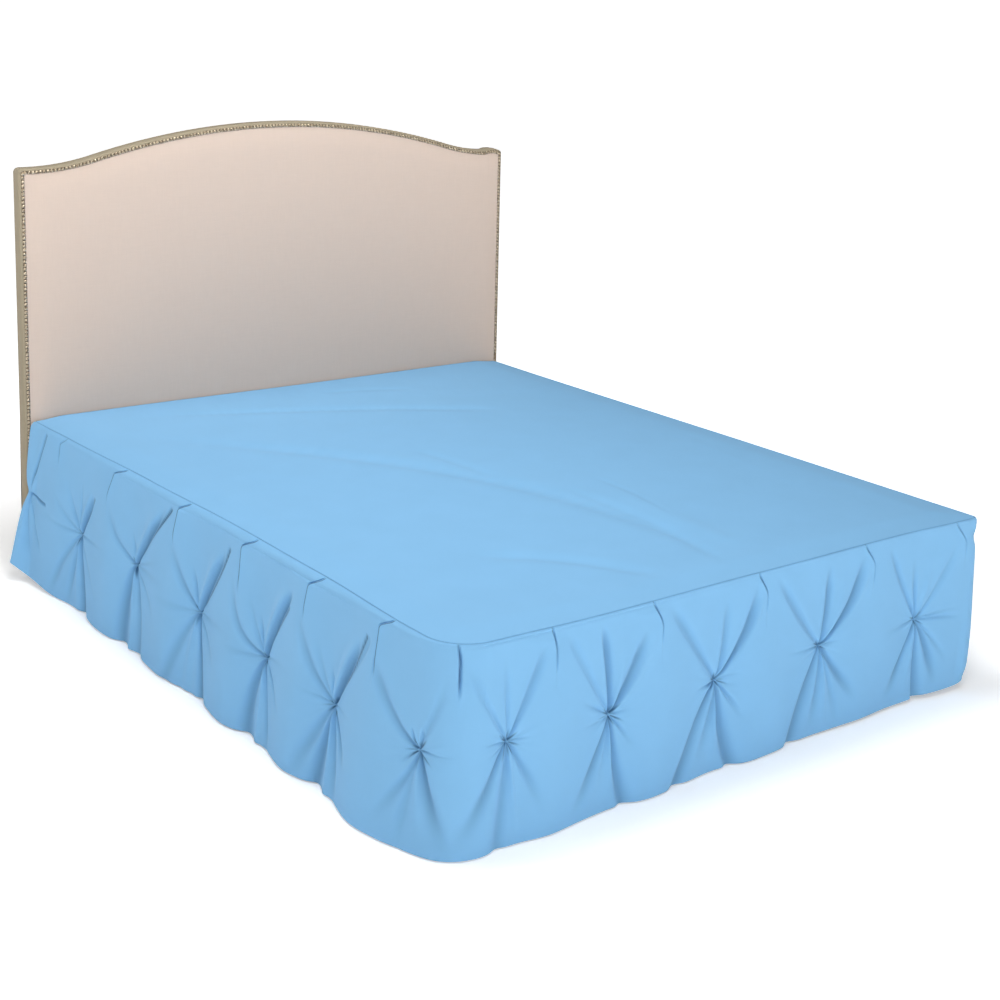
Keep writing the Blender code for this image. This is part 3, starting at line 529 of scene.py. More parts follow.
def star_relief(run, down, narrowest):
    """The folds of all the stars: the highest ridge, the deepest groove and the darkest painted shade
    win.
    """
    ridges, grooves, pressed = (np.zeros_like(run) for _ in range(3))
    for pinch in PINCHES:
        for fold in FOLDS[pinch.folds] + short_creases(pinch):
            relief, painted_part = fold_relief(run, down, pinch, fold, narrowest)
            pressed += painted_part ** 4
            if fold.rise > 0:
                ridges += relief ** 4
            else:
                grooves += relief ** 4
    return ridges ** 0.25 - grooves ** 0.25, np.minimum(pressed ** 0.25, 1.0)


# %% [markdown]
# ## Tucks, swell and puckers
#
# A tuck is a flap that rises to its creased edge and drops into a slot beside it. Between
# the stars the cloth swells out, more so at the hem. Round each tack it is drawn in, with
# fine puckers that run outwards, and the tack itself stands up as a tiny bud.

# %% The details between and round the stars
TACK_DOWN = 230.0
SEWN_BAND = 26.0
TUCK_STEP = 1.1
TUCK_SLOT = 1.7
TUCK_SLOT_PAST = 1.6
TUCK_SLOT_HALF = 2.4
TUCK_FLAT_SHARE = 0.30
TUCK_DARK = 1.5
TUCK_FLAP = 26.0
TUCK_FADE = 45.0
TUCK_LONG_FADE = 95.0
LEAN_REACH = 60.0
TACK_DIMPLE = 30.0
BUD_RADIUS = 3.2
PUCKER_HEIGHT = 0.8
PUCKER_LENGTH = 38.0
PUCKERS = ((9, 0.8), (13, 2.1), (19, 4.4))
STITCH_HALF = 1.7
Wave = namedtuple("Wave", "height length fall turn")
SLOW_WAVE = Wave(0.9, 47.0, 90.0, 1.0)
QUICK_WAVE = Wave(0.7, 23.0, 60.0, 2.0)


def tuck_line(tuck, down):
    """Run of a tuck's creased edge at each depth."""
    below = np.clip(down - tuck.slide_depth, 0.0, LEAN_REACH)
    return tuck.run + tuck.slide * (1.0 - smooth(down / tuck.slide_depth)) + tuck.lean * below


def tuck_relief(run, down, tuck):
    """A flap that drops into the slot beside it, in millimetres, and the dark line of shade painted
    beside its crease.
    """
    past = (run - tuck_line(tuck, down)) * tuck.over
    flap = np.exp(np.minimum(past, 0.0) / TUCK_FLAP)
    under = -TUCK_SLOT * np.exp(-((past - TUCK_SLOT_PAST) / TUCK_SLOT_HALF) ** 2)
    share = 0.5 + 0.5 * np.tanh(past / TUCK_STEP)
    fade = 1.0 - smooth((down - tuck.sharp) / TUCK_FADE)
    long_fade = 1.0 - smooth((down - tuck.sharp) / TUCK_LONG_FADE)
    band = TUCK_FLAT_SHARE + (1.0 - TUCK_FLAT_SHARE) * smooth((down - 8.0) / 20.0)
    start = smooth(down / 3.0)
    height = flap * (1.0 - share) * (0.5 * fade + 0.5 * long_fade) + under * fade
    # The painted dark line stands for the shadow at the tuck's crease.
    painted_part = np.exp(-((past - tuck.dark) / TUCK_DARK) ** 2) * fade * start
    return tuck.lap * band * start * height, tuck.shade * painted_part


def star_phase(run):
    """0 at a tack, 1 at a tuck, and a straight share of the way between them."""
    stations = [(pinch.run, 0.0) for pinch in PINCHES] + [(tuck.run, 1.0) for tuck in TUCKS]
    stations.sort()
    return np.interp(run, [s[0] for s in stations], [s[1] for s in stations])


def fullness(run, down):
    """How far the cloth swells between the stars, in millimetres."""
    soft = 0.5 - 0.5 * np.cos(math.pi * star_phase(run))
    share = np.clip(down * MM / DROP_DEPTH, 0.0, 1.0)
    mid = hang_value(run * MM, "full_mid") * np.sin(math.pi * share)
    hem = hang_value(run * MM, "full_hem") * smooth(share)
    return (mid + hem) * soft


def tack_relief(run, down, pinch):
    """The dimple, the puckers and the bud at one tack, in millimetres."""
    across, below = run - pinch.run, down - pinch.down
    distance = np.hypot(across, below)
    angle = np.arctan2(below, across)
    ripple = sum(np.cos(count * angle + phase + pinch.run) for count, phase in PUCKERS)
    ripple = ripple * smooth((distance - 3.0) / 12.0) * np.exp(-distance / PUCKER_LENGTH)
    ripple = PUCKER_HEIGHT * ripple * min(1.0, pinch.bud)
    bud = pinch.bud * np.exp(-(distance / BUD_RADIUS) ** 2)
    return ripple + bud - pinch.pull * np.exp(-distance / TACK_DIMPLE)


def drop_relief(run, down, narrowest):
    """How far the cloth stands out in millimetres, and how much shade is painted on it."""
    folded, pressed = star_relief(run, down, narrowest)
    slow, quick = SLOW_WAVE, QUICK_WAVE
    relief = fullness(run, down) + folded
    relief = relief + slow.height * np.sin(run / slow.length + down / slow.fall) * np.sin(
        down / 70.0 + slow.turn)
    relief = relief + quick.height * np.sin(run / quick.length - down / quick.fall + quick.turn)
    for pinch in PINCHES:
        relief = relief + tack_relief(run, down, pinch)
    relief = relief * smooth(down / SEWN_BAND)
    for tuck in TUCKS:
        lapped, painted_part = tuck_relief(run, down, tuck)
        relief = relief + lapped
        pressed = np.maximum(pressed, painted_part)
    line = hang_value(run * MM, "roll_down")
    stitched = hang_value(run * MM, "stitch") * np.exp(-((down - line) / STITCH_HALF) ** 2)
    return relief - stitched, pressed


# %% [markdown]
# ## The grid of a drop
#
# The grid's columns stand closest at the tacks and the tucks and follow each tuck's crease,
# so a step of a millimetre needs no dense mesh elsewhere. At the top the sheet dips into the
# seam, and at the bottom it turns under into a narrow hem, which also gives the open sheet
# a finished edge.

# %% Grid lines of a drop
TUCK_REACH = 115.0
SEAM_DIP = 5.5
SEAM_HALF = 2.4
SEAM_PAINTED_SHADE = 0.75
HEM_TURN = ((0.6, 1.2), (2.2, 1.9), (3.4, 0.4), (3.8, -5.0))
FINEST, COARSEST = 0.9, 5.2
TUCK_GROWTH = 0.12
TACK_GROWTH = 0.060
ROLL_ANGLES = (0.0, 2.0, 4.0, 6.5, 9.5, 13.0, 19.0, 27.0, 37.0, 48.0, 60.0, 72.0)
STITCH_ROWS = (-1.6, -0.6, 0.6, 1.6, 3.2)


def run_of_column(column, down):
    """Run in millimetres of a grid column, which follows the crease of a tuck beside it."""
    run = column / MM
    for tuck in TUCKS:
        near = smooth(1.0 - np.abs(column / MM - tuck.run) / TUCK_REACH)
        run = run + (tuck_line(tuck, down) - tuck.run) * near
    return run


def graded(start, end, spacing_at):
    """Values from start to end, whose spacing a function gives at each place."""
    fine = np.linspace(start, end, 20000)
    count = np.concatenate([[0.0], np.cumsum(np.diff(fine) / spacing_at(fine)[1:])])
    total = max(2, round(count[-1]))
    return np.interp(np.linspace(0.0, count[-1], total + 1), count, fine)


def away_from(places, stations):
    """Distance from each place to the nearest station."""
    return np.min(np.abs(places[:, None] - np.array(stations, float)[None, :]), axis=1)


def column_spacing(run, scale):
    """Finest beside the tucks' creases and round the tacks."""
    at_tuck = FINEST + TUCK_GROWTH * away_from(run, [tuck.run for tuck in TUCKS])
    at_tack = FINEST + TACK_GROWTH * away_from(run, [pinch.run for pinch in PINCHES])
    return np.minimum(np.minimum(at_tuck, at_tack), COARSEST) * scale


def row_spacing(down, scale):
    """Finest at the depth of the tacks."""
    return np.minimum(1.0 + TACK_GROWTH * np.abs(down - TACK_DOWN), COARSEST) * scale


def row_down(column, row):
    """Depth of a grid row, which bends so that its finest rows pass through the tacks."""
    tack = np.interp(column / MM, [pinch.run for pinch in PINCHES],
                     [pinch.down for pinch in PINCHES])
    return row + (tack - TACK_DOWN) * np.sin(math.pi * row * MM / DROP_DEPTH) ** 2


def drop_rows(roll, scale):
    """Depths of the grid's rows: over the roll, past the stitch line, and down to the hem."""
    over = roll * (1.0 - np.cos(np.radians(ROLL_ANGLES)))
    line = roll + np.array(STITCH_ROWS)
    return np.concatenate([over, line, graded(roll + 6.0, DROP_DEPTH / MM,
                                              lambda down: row_spacing(down, scale))])


# %% The surface of a drop
def drop_surface(column, down, narrowest):
    """Outer face of the drop at a grid of columns (metres) and depths (millimetres)."""
    run = run_of_column(column, down)
    lift = hang_value(column, "lift")
    hanging = down - lift * (down * MM / DROP_DEPTH) ** 3
    x, y, normal_x, normal_y = seam_path(run * MM)
    plain = hang_out(run * MM, down)
    past_seam = (plain - hang_out(run * MM, 0.0 * down)) / MM
    into_seam = (1.0 - np.clip(past_seam / SEAM_HALF, 0.0, 1.0)) ** 2 * (down < 12.0)
    dip = SEAM_DIP * into_seam
    relief, pressed = drop_relief(run, down, narrowest)
    # Shade is also painted along the seam's dip.
    pressed = np.maximum(pressed, SEAM_PAINTED_SHADE * into_seam)
    out = plain + (relief - 0.5 * into_seam) * MM
    height = DECK_HEIGHT - (hanging + dip) * MM
    return np.stack([x + normal_x * out, y + normal_y * out, height], axis=-1), run, pressed


def turned_hem(points, column):
    """Rows that carry the hem inwards and up behind the drop."""
    _, _, normal_x, normal_y = seam_path(column)
    rows = []
    for inward, drop in HEM_TURN:
        row = points[:, -1].copy()
        row[:, 0] -= normal_x * inward * MM
        row[:, 1] -= normal_y * inward * MM
        row[:, 2] -= drop * MM
        rows.append(row)
    return np.stack(rows, axis=1)


def grid_mesh(name, points, uv, pressed):
    """A smooth-shaded mesh on a grid of points, with a UV map in metres and its painted shade."""
    columns, rows = points.shape[:2]
    index = np.arange(columns * rows).reshape(columns, rows)
    corners = (index[:-1, :-1], index[:-1, 1:], index[1:, 1:], index[1:, :-1])
    faces = np.stack(corners, axis=-1).reshape(-1, 4)
    placed = points.reshape(-1, 3) + np.array(BED_PLACE)
    mesh = bpy.data.meshes.new(name)
    mesh.from_pydata(placed.tolist(), [], faces.tolist())
    layer = mesh.uv_layers.new(name="cloth")
    layer.data.foreach_set("uv", uv.reshape(-1, 2)[faces.ravel()].astype(np.float32).ravel())
    attribute = mesh.attributes.new("pressed", "FLOAT", "POINT")
    attribute.data.foreach_set("value", pressed.ravel().astype(np.float32))
    mesh.shade_smooth()
    return mesh


def add_piece(name, mesh, material):
    """One finished piece in the scene."""
    piece = bpy.data.objects.new(name, mesh)
    piece.data.materials.append(material)
    bpy.context.scene.collection.objects.link(piece)
    print(name, "has", sum(len(face.vertices) - 2 for face in mesh.polygons), "triangles")
    return piece


# %% [markdown]
# ## Colours and nodes
#
# The colours are written as the eye sees them on a screen, in hex, and one function turns
# them to the linear values that light is added up in. One small function adds a node with its
# settings and its links, so a material reads as a list of what is in it.

# %% Colour and node helpers
def linear(colour):
    """A hex colour such as "8cc4ee" as linear red, green, blue and alpha."""
    values = [int(colour[place:place + 2], 16) / 255 for place in (0, 2, 4)]
    return [v / 12.92 if v <= 0.04045 else ((v + 0.055) / 1.055) ** 2.4 for v in values] + [1.0]


def set_inputs(tree, node, inputs):
    """Set a node's inputs. Each is a plain value or another node's output."""
    for name, value in inputs.items():
        if isinstance(value, bpy.types.NodeSocket):
            tree.links.new(value, node.inputs[name])
        else:
            node.inputs[name].default_value = value


def add_node(tree, kind, inputs=None, **settings):
    """Add a node with its settings and its inputs."""
    node = tree.nodes.new(kind)
    for name, value in settings.items():
        setattr(node, name, value)
    set_inputs(tree, node, inputs or {})
    return node


def add_ramp(tree, factor, stops):
    """The colour that a ramp of stops, each a position and a linear colour, gives."""
    node = add_node(tree, "ShaderNodeValToRGB", {"Fac": factor})
    elements = node.color_ramp.elements
    while len(elements) < len(stops):
        elements.new(0.5)
    for element, (position, colour) in zip(elements, stops):
        element.position = position
        element.color = colour
    return node.outputs["Color"]


def add_mix(tree, factor, first, second, **settings):
    """The colour between two colours."""
    mix = add_node(tree, "ShaderNodeMix", {"Factor": factor, "A": first, "B": second},
                   data_type="RGBA", **settings)
    return mix.outputs["Result"]


def new_material(name):
    """An empty material, its node tree and its Principled shader."""
    material = bpy.data.materials.new(name)
    material.use_nodes = True
    return material, material.node_tree, material.node_tree.nodes["Principled BSDF"]


# %% [markdown]
# ## Brushed microfibre
#
# The skirt is brushed polyester microfibre, piece-dyed sky blue. Its filaments are far too
# fine to see, so the eye gets an even, matt colour, a faint bloom at grazing angles from the
# brushed nap, and a hint of weave. The real thread spacing is about 0.25 mm, so the weave is
# drawn ten times as coarse, and weak, or no render would show it.

# %% The microfibre material
WEAVE_DRAWN = 2.5 * MM
CLOTH_COLOUR = "84bde8"
# The dark colour that the painted shade in creases, slots and seams turns the cloth to.
PAINTED_SHADE_COLOUR = "083a62"


def microfibre(name):
    """Brushed cloth that a little mottles, and is painted darker in its creases, slots and seam, where
    shade falls.
    """
    material, tree, shader = new_material(name)
    uv = add_node(tree, "ShaderNodeUVMap", uv_map="cloth").outputs["UV"]
    mottle = add_node(tree, "ShaderNodeTexNoise", {"Vector": uv, "Scale": 9.0, "Detail": 3.0})
    base = linear(CLOTH_COLOUR)[:3]
    dye = add_ramp(tree, mottle.outputs["Fac"], (
        (0.3, [value * 0.985 for value in base] + [1.0]),
        (0.7, [min(1.0, value * 1.01) for value in base] + [1.0])))
    pressed = add_node(tree, "ShaderNodeAttribute", attribute_name="pressed").outputs["Fac"]
    threads = {"Vector": uv, "Scale": 1.0 / WEAVE_DRAWN / 6.283}
    warp = add_node(tree, "ShaderNodeTexWave", threads, bands_direction="X")
    weft = add_node(tree, "ShaderNodeTexWave", threads, bands_direction="Y")
    weave = add_node(tree, "ShaderNodeMath", {0: warp.outputs["Fac"], 1: weft.outputs["Fac"]},
                     operation="MULTIPLY")
    bump = add_node(tree, "ShaderNodeBump", {"Height": weave.outputs["Value"],
                                             "Strength": 0.06, "Distance": 0.0004})
    set_inputs(tree, shader, {
        "Base Color": add_mix(tree, pressed, dye, linear(PAINTED_SHADE_COLOUR)),
        "Normal": bump.outputs["Normal"], "Roughness": 0.88, "Sheen Weight": 0.10,
        "Sheen Roughness": 0.5, "Specular IOR Level": 0.2})
    return material


drop_cloth = microfibre("brushed microfibre, pleated drops")
deck_cloth = microfibre("brushed microfibre, deck")
print("Microfibre is mixed for", drop_cloth.name, "and", deck_cloth.name)

# %% [markdown]
# ## The three drops
#
# The skirt's drop comes in three panels, joined beside the two foot corners. Each is a sheet
# that replaces its plain solid. Its row also gives how long it was cut, though nothing here
# reads that: about a quarter more cloth than the seam is long goes into the stars and the
# pleats.

# %% Build the drops
Drop = namedtuple("Drop", "start end scale cut")
DROPS = {
    "drop_left": Drop(0.0, LEFT_JOIN, 0.98, 2.55),
    "drop_foot": Drop(LEFT_JOIN, RIGHT_JOIN, 0.85, 1.95),
    "drop_right": Drop(RIGHT_JOIN, RIGHT_END, 1.8, 2.5),
}
NARROWEST = 1.5
SPACING_SHARE = 0.85

for name, drop in DROPS.items():
    columns = graded(drop.start / MM, drop.end / MM,
                     lambda run: column_spacing(run, drop.scale)) * MM
    rows = drop_rows(float(hang_value((drop.start + drop.end) / 2, "roll_down")), drop.scale)
    grid_column, grid_down = np.meshgrid(columns, rows, indexing="ij")
    grid_down = row_down(grid_column, grid_down)
    spacing = np.maximum(column_spacing(columns / MM, drop.scale)[:, None],
                         row_spacing(rows, drop.scale)[None, :])
    narrowest = np.maximum(NARROWEST, SPACING_SHARE * spacing)
    points, runs, pressed = drop_surface(grid_column, grid_down, narrowest)
    points = np.concatenate([points, turned_hem(points, columns)], axis=1)
    extra = len(HEM_TURN)
    hem_down = grid_down[:, -1:] + 3.0 * np.arange(1, extra + 1)
    uv_down = np.concatenate([grid_down, hem_down], axis=1) * MM
    uv_run = np.concatenate([runs, np.repeat(runs[:, -1:], extra, axis=1)], axis=1) * MM
    uv = np.stack([uv_run, uv_down], axis=-1)
    pressed = np.concatenate([pressed, np.zeros((len(columns), extra))], axis=1)
    mesh = grid_mesh(name + "_cloth", points, uv, pressed)
    piece = add_piece("cloth_" + name, mesh, drop_cloth)
    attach(piece, "root")
    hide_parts(name)

# %% [markdown]
# ## The deck sheet
#
# The deck is one flat sheet that the mattress would cover. It lies on the base with the soft
# creases of a sheet that was folded in its packet and then pulled smooth. Each crease is a
# row: a shallow trough or ridge along a curve. Its edge dips into the seam to meet the drops.

# %% The deck's creases
Crease = namedtuple("Crease", "start_x start_y mid_x mid_y end_x end_y rise width")
CREASES = (
    Crease(-701, 702, -100, -60, 36, -906, -7.0, 38),
    Crease(-73, 219, -45, 30, -33, -135, -3.6, 22),
    Crease(51, -257, 64, -600, -12, -955, -4.4, 20),
    Crease(-573, 876, 0, 669, 445, 396, -5.0, 26),
    Crease(32, 863, 167, 847, 337, 766, -2.6, 20),
    Crease(163, -304, 135, -600, 116, -874, 3.2, 30),
    Crease(182, -241, 176, -420, 130, -641, -2.0, 8),
    Crease(-466, -597, -300, -715, -171, -932, -5.5, 26),
    Crease(674, 6, 626, -385, 554, -852, 1.4, 6),
)
CREASE_POINTS = 41
CREASE_START = 0.25
CREASE_END = 0.2


def crease_relief(x, y, crease):
    """Height of one crease over the flat deck, in millimetres; x and y are too."""
    shares, points = curve_through((crease.start_x, crease.start_y), (crease.mid_x, crease.mid_y),
                                   (crease.end_x, crease.end_y), CREASE_POINTS)
    distance = np.full(x.shape, 1e9)
    along = np.zeros(x.shape)
    for share, (px, py) in zip(shares, points):
        gap = np.hypot(x - px, y - py)
        nearer = gap < distance
        distance[nearer] = gap[nearer]
        along[nearer] = share
    ends = smooth(along / CREASE_START) * smooth((1.0 - along) / CREASE_END)
    return crease.rise * ends * np.exp(-(distance / crease.width) ** 2)


# %% Build the deck
DECK_LOFT = 7.0
DECK_LOFT_REACH = 90.0
DECK_DEEPEST = -1.0
DECK_COLUMN = 8.5 * MM
DECK_ROWS = 210
CORNER_ROWS = 26
FOOT_BLEND = 0.25
EDGE_COLUMNS = (0.0, 0.6, 1.2, 1.9, 2.7, 4.5, 7.5, 12.0, 18.0, 26.0)


def deck_outline():
    """Plan points of the seam, from the head of the left side to that of the right."""
    runs = graded(0.0, RIGHT_END / MM, lambda run: np.full(run.shape, 4.0)) * MM
    x, y, normal_x, normal_y = seam_path(runs)
    out = hang_value(runs, "wander") * MM
    return runs, x + normal_x * out, y + normal_y * out


def edge_graded(length, coarse):
    """Shares across a width, fine within a few centimetres of both ends."""
    near = np.array(EDGE_COLUMNS) * MM
    count = max(2, round((length - 2 * near[-1]) / coarse))
    middle = np.linspace(near[-1], length - near[-1], count + 1)[1:-1]
    return np.concatenate([near, middle, length - near[::-1]]) / length


runs, seam_x, seam_y = deck_outline()
corner = NEAR_CORNER_RADIUS * (1.0 - np.sin(np.radians(np.linspace(0.0, 90.0, CORNER_ROWS))))
straight = np.linspace(HEAD_Y, FOOT_Y + NEAR_CORNER_RADIUS, DECK_ROWS)[:-1]
row_y = np.concatenate([straight, FOOT_Y + corner])
on_left = runs <= NEAR_CORNER_END
on_right = runs >= FOOT_END
shares = edge_graded(BED_WIDTH, DECK_COLUMN)
foot_wander = hang_value(NEAR_CORNER_END + 0.02, "wander") * MM
deck_points = np.zeros((len(shares), len(row_y), 3))
for row, y in enumerate(row_y):
    nearness = float(smooth((FOOT_Y + FOOT_BLEND - y) / FOOT_BLEND))
    left_y = y - foot_wander * nearness
    left_x = np.interp(-left_y, -seam_y[on_left], seam_x[on_left])
    right_x = np.interp(y, seam_y[on_right], seam_x[on_right])
    x = left_x + shares * (right_x - left_x)
    run_below = NEAR_CORNER_END + (x + HALF_WIDTH - NEAR_CORNER_RADIUS)
    shift = hang_value(np.clip(run_below, NEAR_CORNER_END, FOOT_END), "wander") * MM
    deck_points[:, row, 0] = x
    deck_points[:, row, 1] = y - shift * nearness

deck_x, deck_y = deck_points[:, :, 0], deck_points[:, :, 1]
to_seam = np.full(deck_x.shape, 1e9)
for px, py, qx, qy in zip(seam_x, seam_y, seam_x[1:], seam_y[1:]):
    step_x, step_y = qx - px, qy - py
    share = ((deck_x - px) * step_x + (deck_y - py) * step_y) / (step_x ** 2 + step_y ** 2)
    share = np.clip(share, 0.0, 1.0)
    gap = np.hypot(deck_x - px - share * step_x, deck_y - py - share * step_y)
    to_seam = np.minimum(to_seam, gap)
relief = sum(crease_relief(deck_x / MM, deck_y / MM, crease) for crease in CREASES)
relief = relief + 0.8 * np.sin(deck_x / MM / 190.0 + 1.0) * np.sin(deck_y / MM / 240.0)
relief = (relief + DECK_LOFT) * smooth(to_seam / MM / DECK_LOFT_REACH)
relief = np.maximum(relief, DECK_DEEPEST)
dip = SEAM_DIP * (1.0 - np.clip(to_seam / MM / SEAM_HALF, 0.0, 1.0)) ** 2
deck_points[:, :, 2] = DECK_HEIGHT + (relief - dip) * MM
# Shade is painted along the dip into the seam, as on the drops.
deck_painted_shade = SEAM_PAINTED_SHADE * dip / SEAM_DIP
deck_mesh = grid_mesh("deck_cloth", deck_points[::-1], deck_points[::-1, :, :2], deck_painted_shade[::-1])
deck = add_piece("cloth_deck", deck_mesh, deck_cloth)
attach(deck, "root")
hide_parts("deck")

# %% [markdown]
# ## The headboard
#
# The headboard is a panel with a crowned arch, padded in front with thin foam and covered in
# a tight linen-look fabric. The foam's edge falls away to a narrow border, where a row of
# nails holds the fabric down. The front is a height over a lofted grid that follows the arch,
# and its sides and back are rings of the same outline, closed by one flat face.

# %% The headboard's sizes
board_low, board_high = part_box("headboard")
BOARD_X = (board_low.x + board_high.x) / 2 - BED_PLACE.x
BOARD_WIDTH = 1.640
BOARD_SHOULDER = 1.160
BOARD_RISE = 0.107
BOARD_BOTTOM = board_low.z
BOARD_FRONT = board_low.y - BED_PLACE.y
BOARD_BACK = board_high.y - BED_PLACE.y
BOARD_CORNER_RADIUS = 0.014
ARCH_HALF_WIDTH = 0.790
ARCH_BLEND = 0.595
EDGE_ROUND = 0.009
BORDER = 0.017
PAD_CROWN = 0.0045
PAD_REACH = 0.055
SPREAD_LEFT = 0.018
SPREAD_RIGHT = 0.010
PUCKER_X = 0.778
PUCKER_HALF = 0.022
PUCKER_RISE = 0.0055
MITRE = 0.05
BORDER_COLUMNS = (0.0, 0.4, 1.3, 2.8, 5.0, 8.0, 12.0, 16.0)
NAIL_INSET = 0.0115


def board_top(x):
    """Height of the arched top at each distance from the middle."""
    reach = np.abs(x)
    crown = BOARD_SHOULDER + BOARD_RISE
    blend = ARCH_HALF_WIDTH - ARCH_BLEND
    bow = BOARD_RISE / (ARCH_BLEND ** 2 + ARCH_BLEND * blend)
    slope = 2.0 * bow * ARCH_BLEND
    past = np.clip(reach - ARCH_BLEND, 0.0, blend)
    top = crown - bow * np.minimum(reach, ARCH_BLEND) ** 2
    top = top - slope * past + slope * past ** 2 / (2.0 * blend)
    top = top + PUCKER_RISE * np.exp(-((x - PUCKER_X) / PUCKER_HALF) ** 4)
    into = np.clip(reach - (BOARD_WIDTH / 2 - BOARD_CORNER_RADIUS), 0.0, BOARD_CORNER_RADIUS)
    return top - BOARD_CORNER_RADIUS + np.sqrt(BOARD_CORNER_RADIUS ** 2 - into ** 2)


def spread_out(x, z):
    """The sides stand a little wider apart towards the floor: x moved outwards by that."""
    down = np.clip((BOARD_SHOULDER - z) / (BOARD_SHOULDER - DECK_HEIGHT), 0.0, None)
    side = np.where(x < 0.0, SPREAD_LEFT, SPREAD_RIGHT)
    return x * (1.0 + down * side / (BOARD_WIDTH / 2))


# %% Build the headboard
def board_front(to_edge):
    """How far behind its foremost face the front lies, at each distance to the edge."""
    rounding = np.clip(1.0 - to_edge / EDGE_ROUND, 0.0, 1.0)
    edge = EDGE_ROUND * (1.0 - np.sqrt(1.0 - rounding ** 2))
    pad = PAD_CROWN * (1.0 - smooth((to_edge - BORDER) / PAD_REACH) ** 0.6)
    return edge + pad


near = np.concatenate([BORDER_COLUMNS, np.arange(18.0, 60.0, 3.0), np.arange(60.0, 130.0, 7.0)]) * MM
middle = np.linspace(near[-1], BOARD_WIDTH - near[-1], 110)[1:-1]
board_across = np.concatenate([near, middle, BOARD_WIDTH - near[::-1]]) - BOARD_WIDTH / 2
share_down = np.concatenate([near, np.linspace(near[-1], 1.0, 46)[1:]])
top = board_top(board_across)
grid_x = np.repeat(board_across[:, None], len(share_down), axis=1)
grid_z = top[:, None] - share_down[None, :] * (top[:, None] - BOARD_BOTTOM)
slope = np.gradient(top, board_across)
slope[np.abs(board_across) > BOARD_WIDTH / 2 - 0.02] = 0.0
to_top = (top[:, None] - grid_z) / np.sqrt(1.0 + slope[:, None] ** 2)
to_side = BOARD_WIDTH / 2 - np.abs(grid_x)
to_edge = np.minimum(to_top, to_side)
blend = np.clip(0.5 - np.abs(to_top - to_side) / MITRE, 0.0, None)
to_edge = to_edge - MITRE * blend ** 2 * 0.5 * smooth((to_edge - BORDER) / 0.03)
to_edge = np.maximum(to_edge, 0.0)
depth = board_front(to_edge)
creep = 0.0006 * np.sin(grid_x / 0.11 + 1.0) * np.sin(grid_z / 0.17) * smooth(to_edge / 0.08)
board_points = np.stack([spread_out(grid_x, grid_z) + BOARD_X,
                         BOARD_FRONT + depth + np.abs(creep), grid_z], axis=-1)
# Painted shade across the border: none on the panel, a painted shadow where the nails sit, and the
# side band's full painted shade at 1.
painted_border_shade = np.clip(0.5 + (NAIL_INSET - to_edge) / BORDER, 0.0, 1.0)

bm = bmesh.new()
painted_border_layer = bm.verts.layers.float.new("painted_border_shade")
grid_verts = [[bm.verts.new(Vector(point) + BED_PLACE) for point in column]
              for column in board_points]
for column, shares in zip(grid_verts, painted_border_shade):
    for vert, share in zip(column, shares):
        vert[painted_border_layer] = share
for left, right in zip(grid_verts, grid_verts[1:]):
    for row in range(len(left) - 1):
        bm.faces.new((left[row], left[row + 1], right[row + 1], right[row]))
rim = grid_verts[0] + [column[-1] for column in grid_verts[1:-1]] + grid_verts[-1][::-1]
rim = rim + [column[0] for column in grid_verts[-2:0:-1]]
rim_places = np.array([tuple(vert.co) for vert in rim])
tangent = np.roll(rim_places, -1, axis=0) - np.roll(rim_places, 1, axis=0)
outward = np.stack([tangent[:, 2], np.zeros(len(rim)), -tangent[:, 0]], axis=1)
outward = outward / np.linalg.norm(outward, axis=1)[:, None]
if (outward * (rim_places - rim_places.mean(axis=0))).sum() < 0:
    outward = -outward
back_y = BOARD_BACK + BED_PLACE.y
front_y = BOARD_FRONT + EDGE_ROUND + PAD_CROWN + BED_PLACE.y
ring_steps = [(0.0, front_y + (back_y - EDGE_ROUND - front_y) * share)
              for share in (0.33, 0.67, 1.0)]
ring_steps += [(EDGE_ROUND * (1.0 - math.cos(turn)), back_y - EDGE_ROUND * (1.0 - math.sin(turn)))
               for turn in np.radians([30.0, 60.0, 90.0])]
last = rim
for inset, y in ring_steps:
    places = rim_places - outward * inset
    ring = [bm.verts.new((place[0], y, place[2])) for place in places]
    # The sides get the side band's full painted shade.
    for vert in ring:
        vert[painted_border_layer] = 1.0
    for here, there in zip(range(len(rim)), np.roll(np.arange(len(rim)), -1)):
        bm.faces.new((last[here], last[there], ring[there], ring[here]))
    last = ring
bm.faces.new(last)
bmesh.ops.remove_doubles(bm, verts=bm.verts, dist=0.00002)
bmesh.ops.recalc_face_normals(bm, faces=bm.faces)
board_mesh = bpy.data.meshes.new("headboard_padded")
bm.to_mesh(board_mesh)
bm.free()
board_mesh.shade_smooth()
board_mesh.set_sharp_from_angle(angle=math.radians(50))
print("The headboard's front has", len(board_across), "by", len(share_down), "grid lines")

# %% [markdown]
# ## Linen-look upholstery
#
# The headboard's cover is a flat woven polyester made to look like linen, in warm beige. What
# shows is a slightly uneven colour where thicker yarns, the slubs, cross it both ways. Its
# yarns are 0.8 mm apart, and the slubs are drawn 3 mm wide, which is as fine as shows. Shade
# is painted on the band round the sides, a darker colour for faces that turn from the light,
# and a painted shadow darkens the crease where it meets the panel and the nails sink, so one
# attribute blends panel, shaded crease and shaded band.

# %% The upholstery material
SLUB_WIDTH = 3.0 * MM
SLUB_LENGTH = 14.0


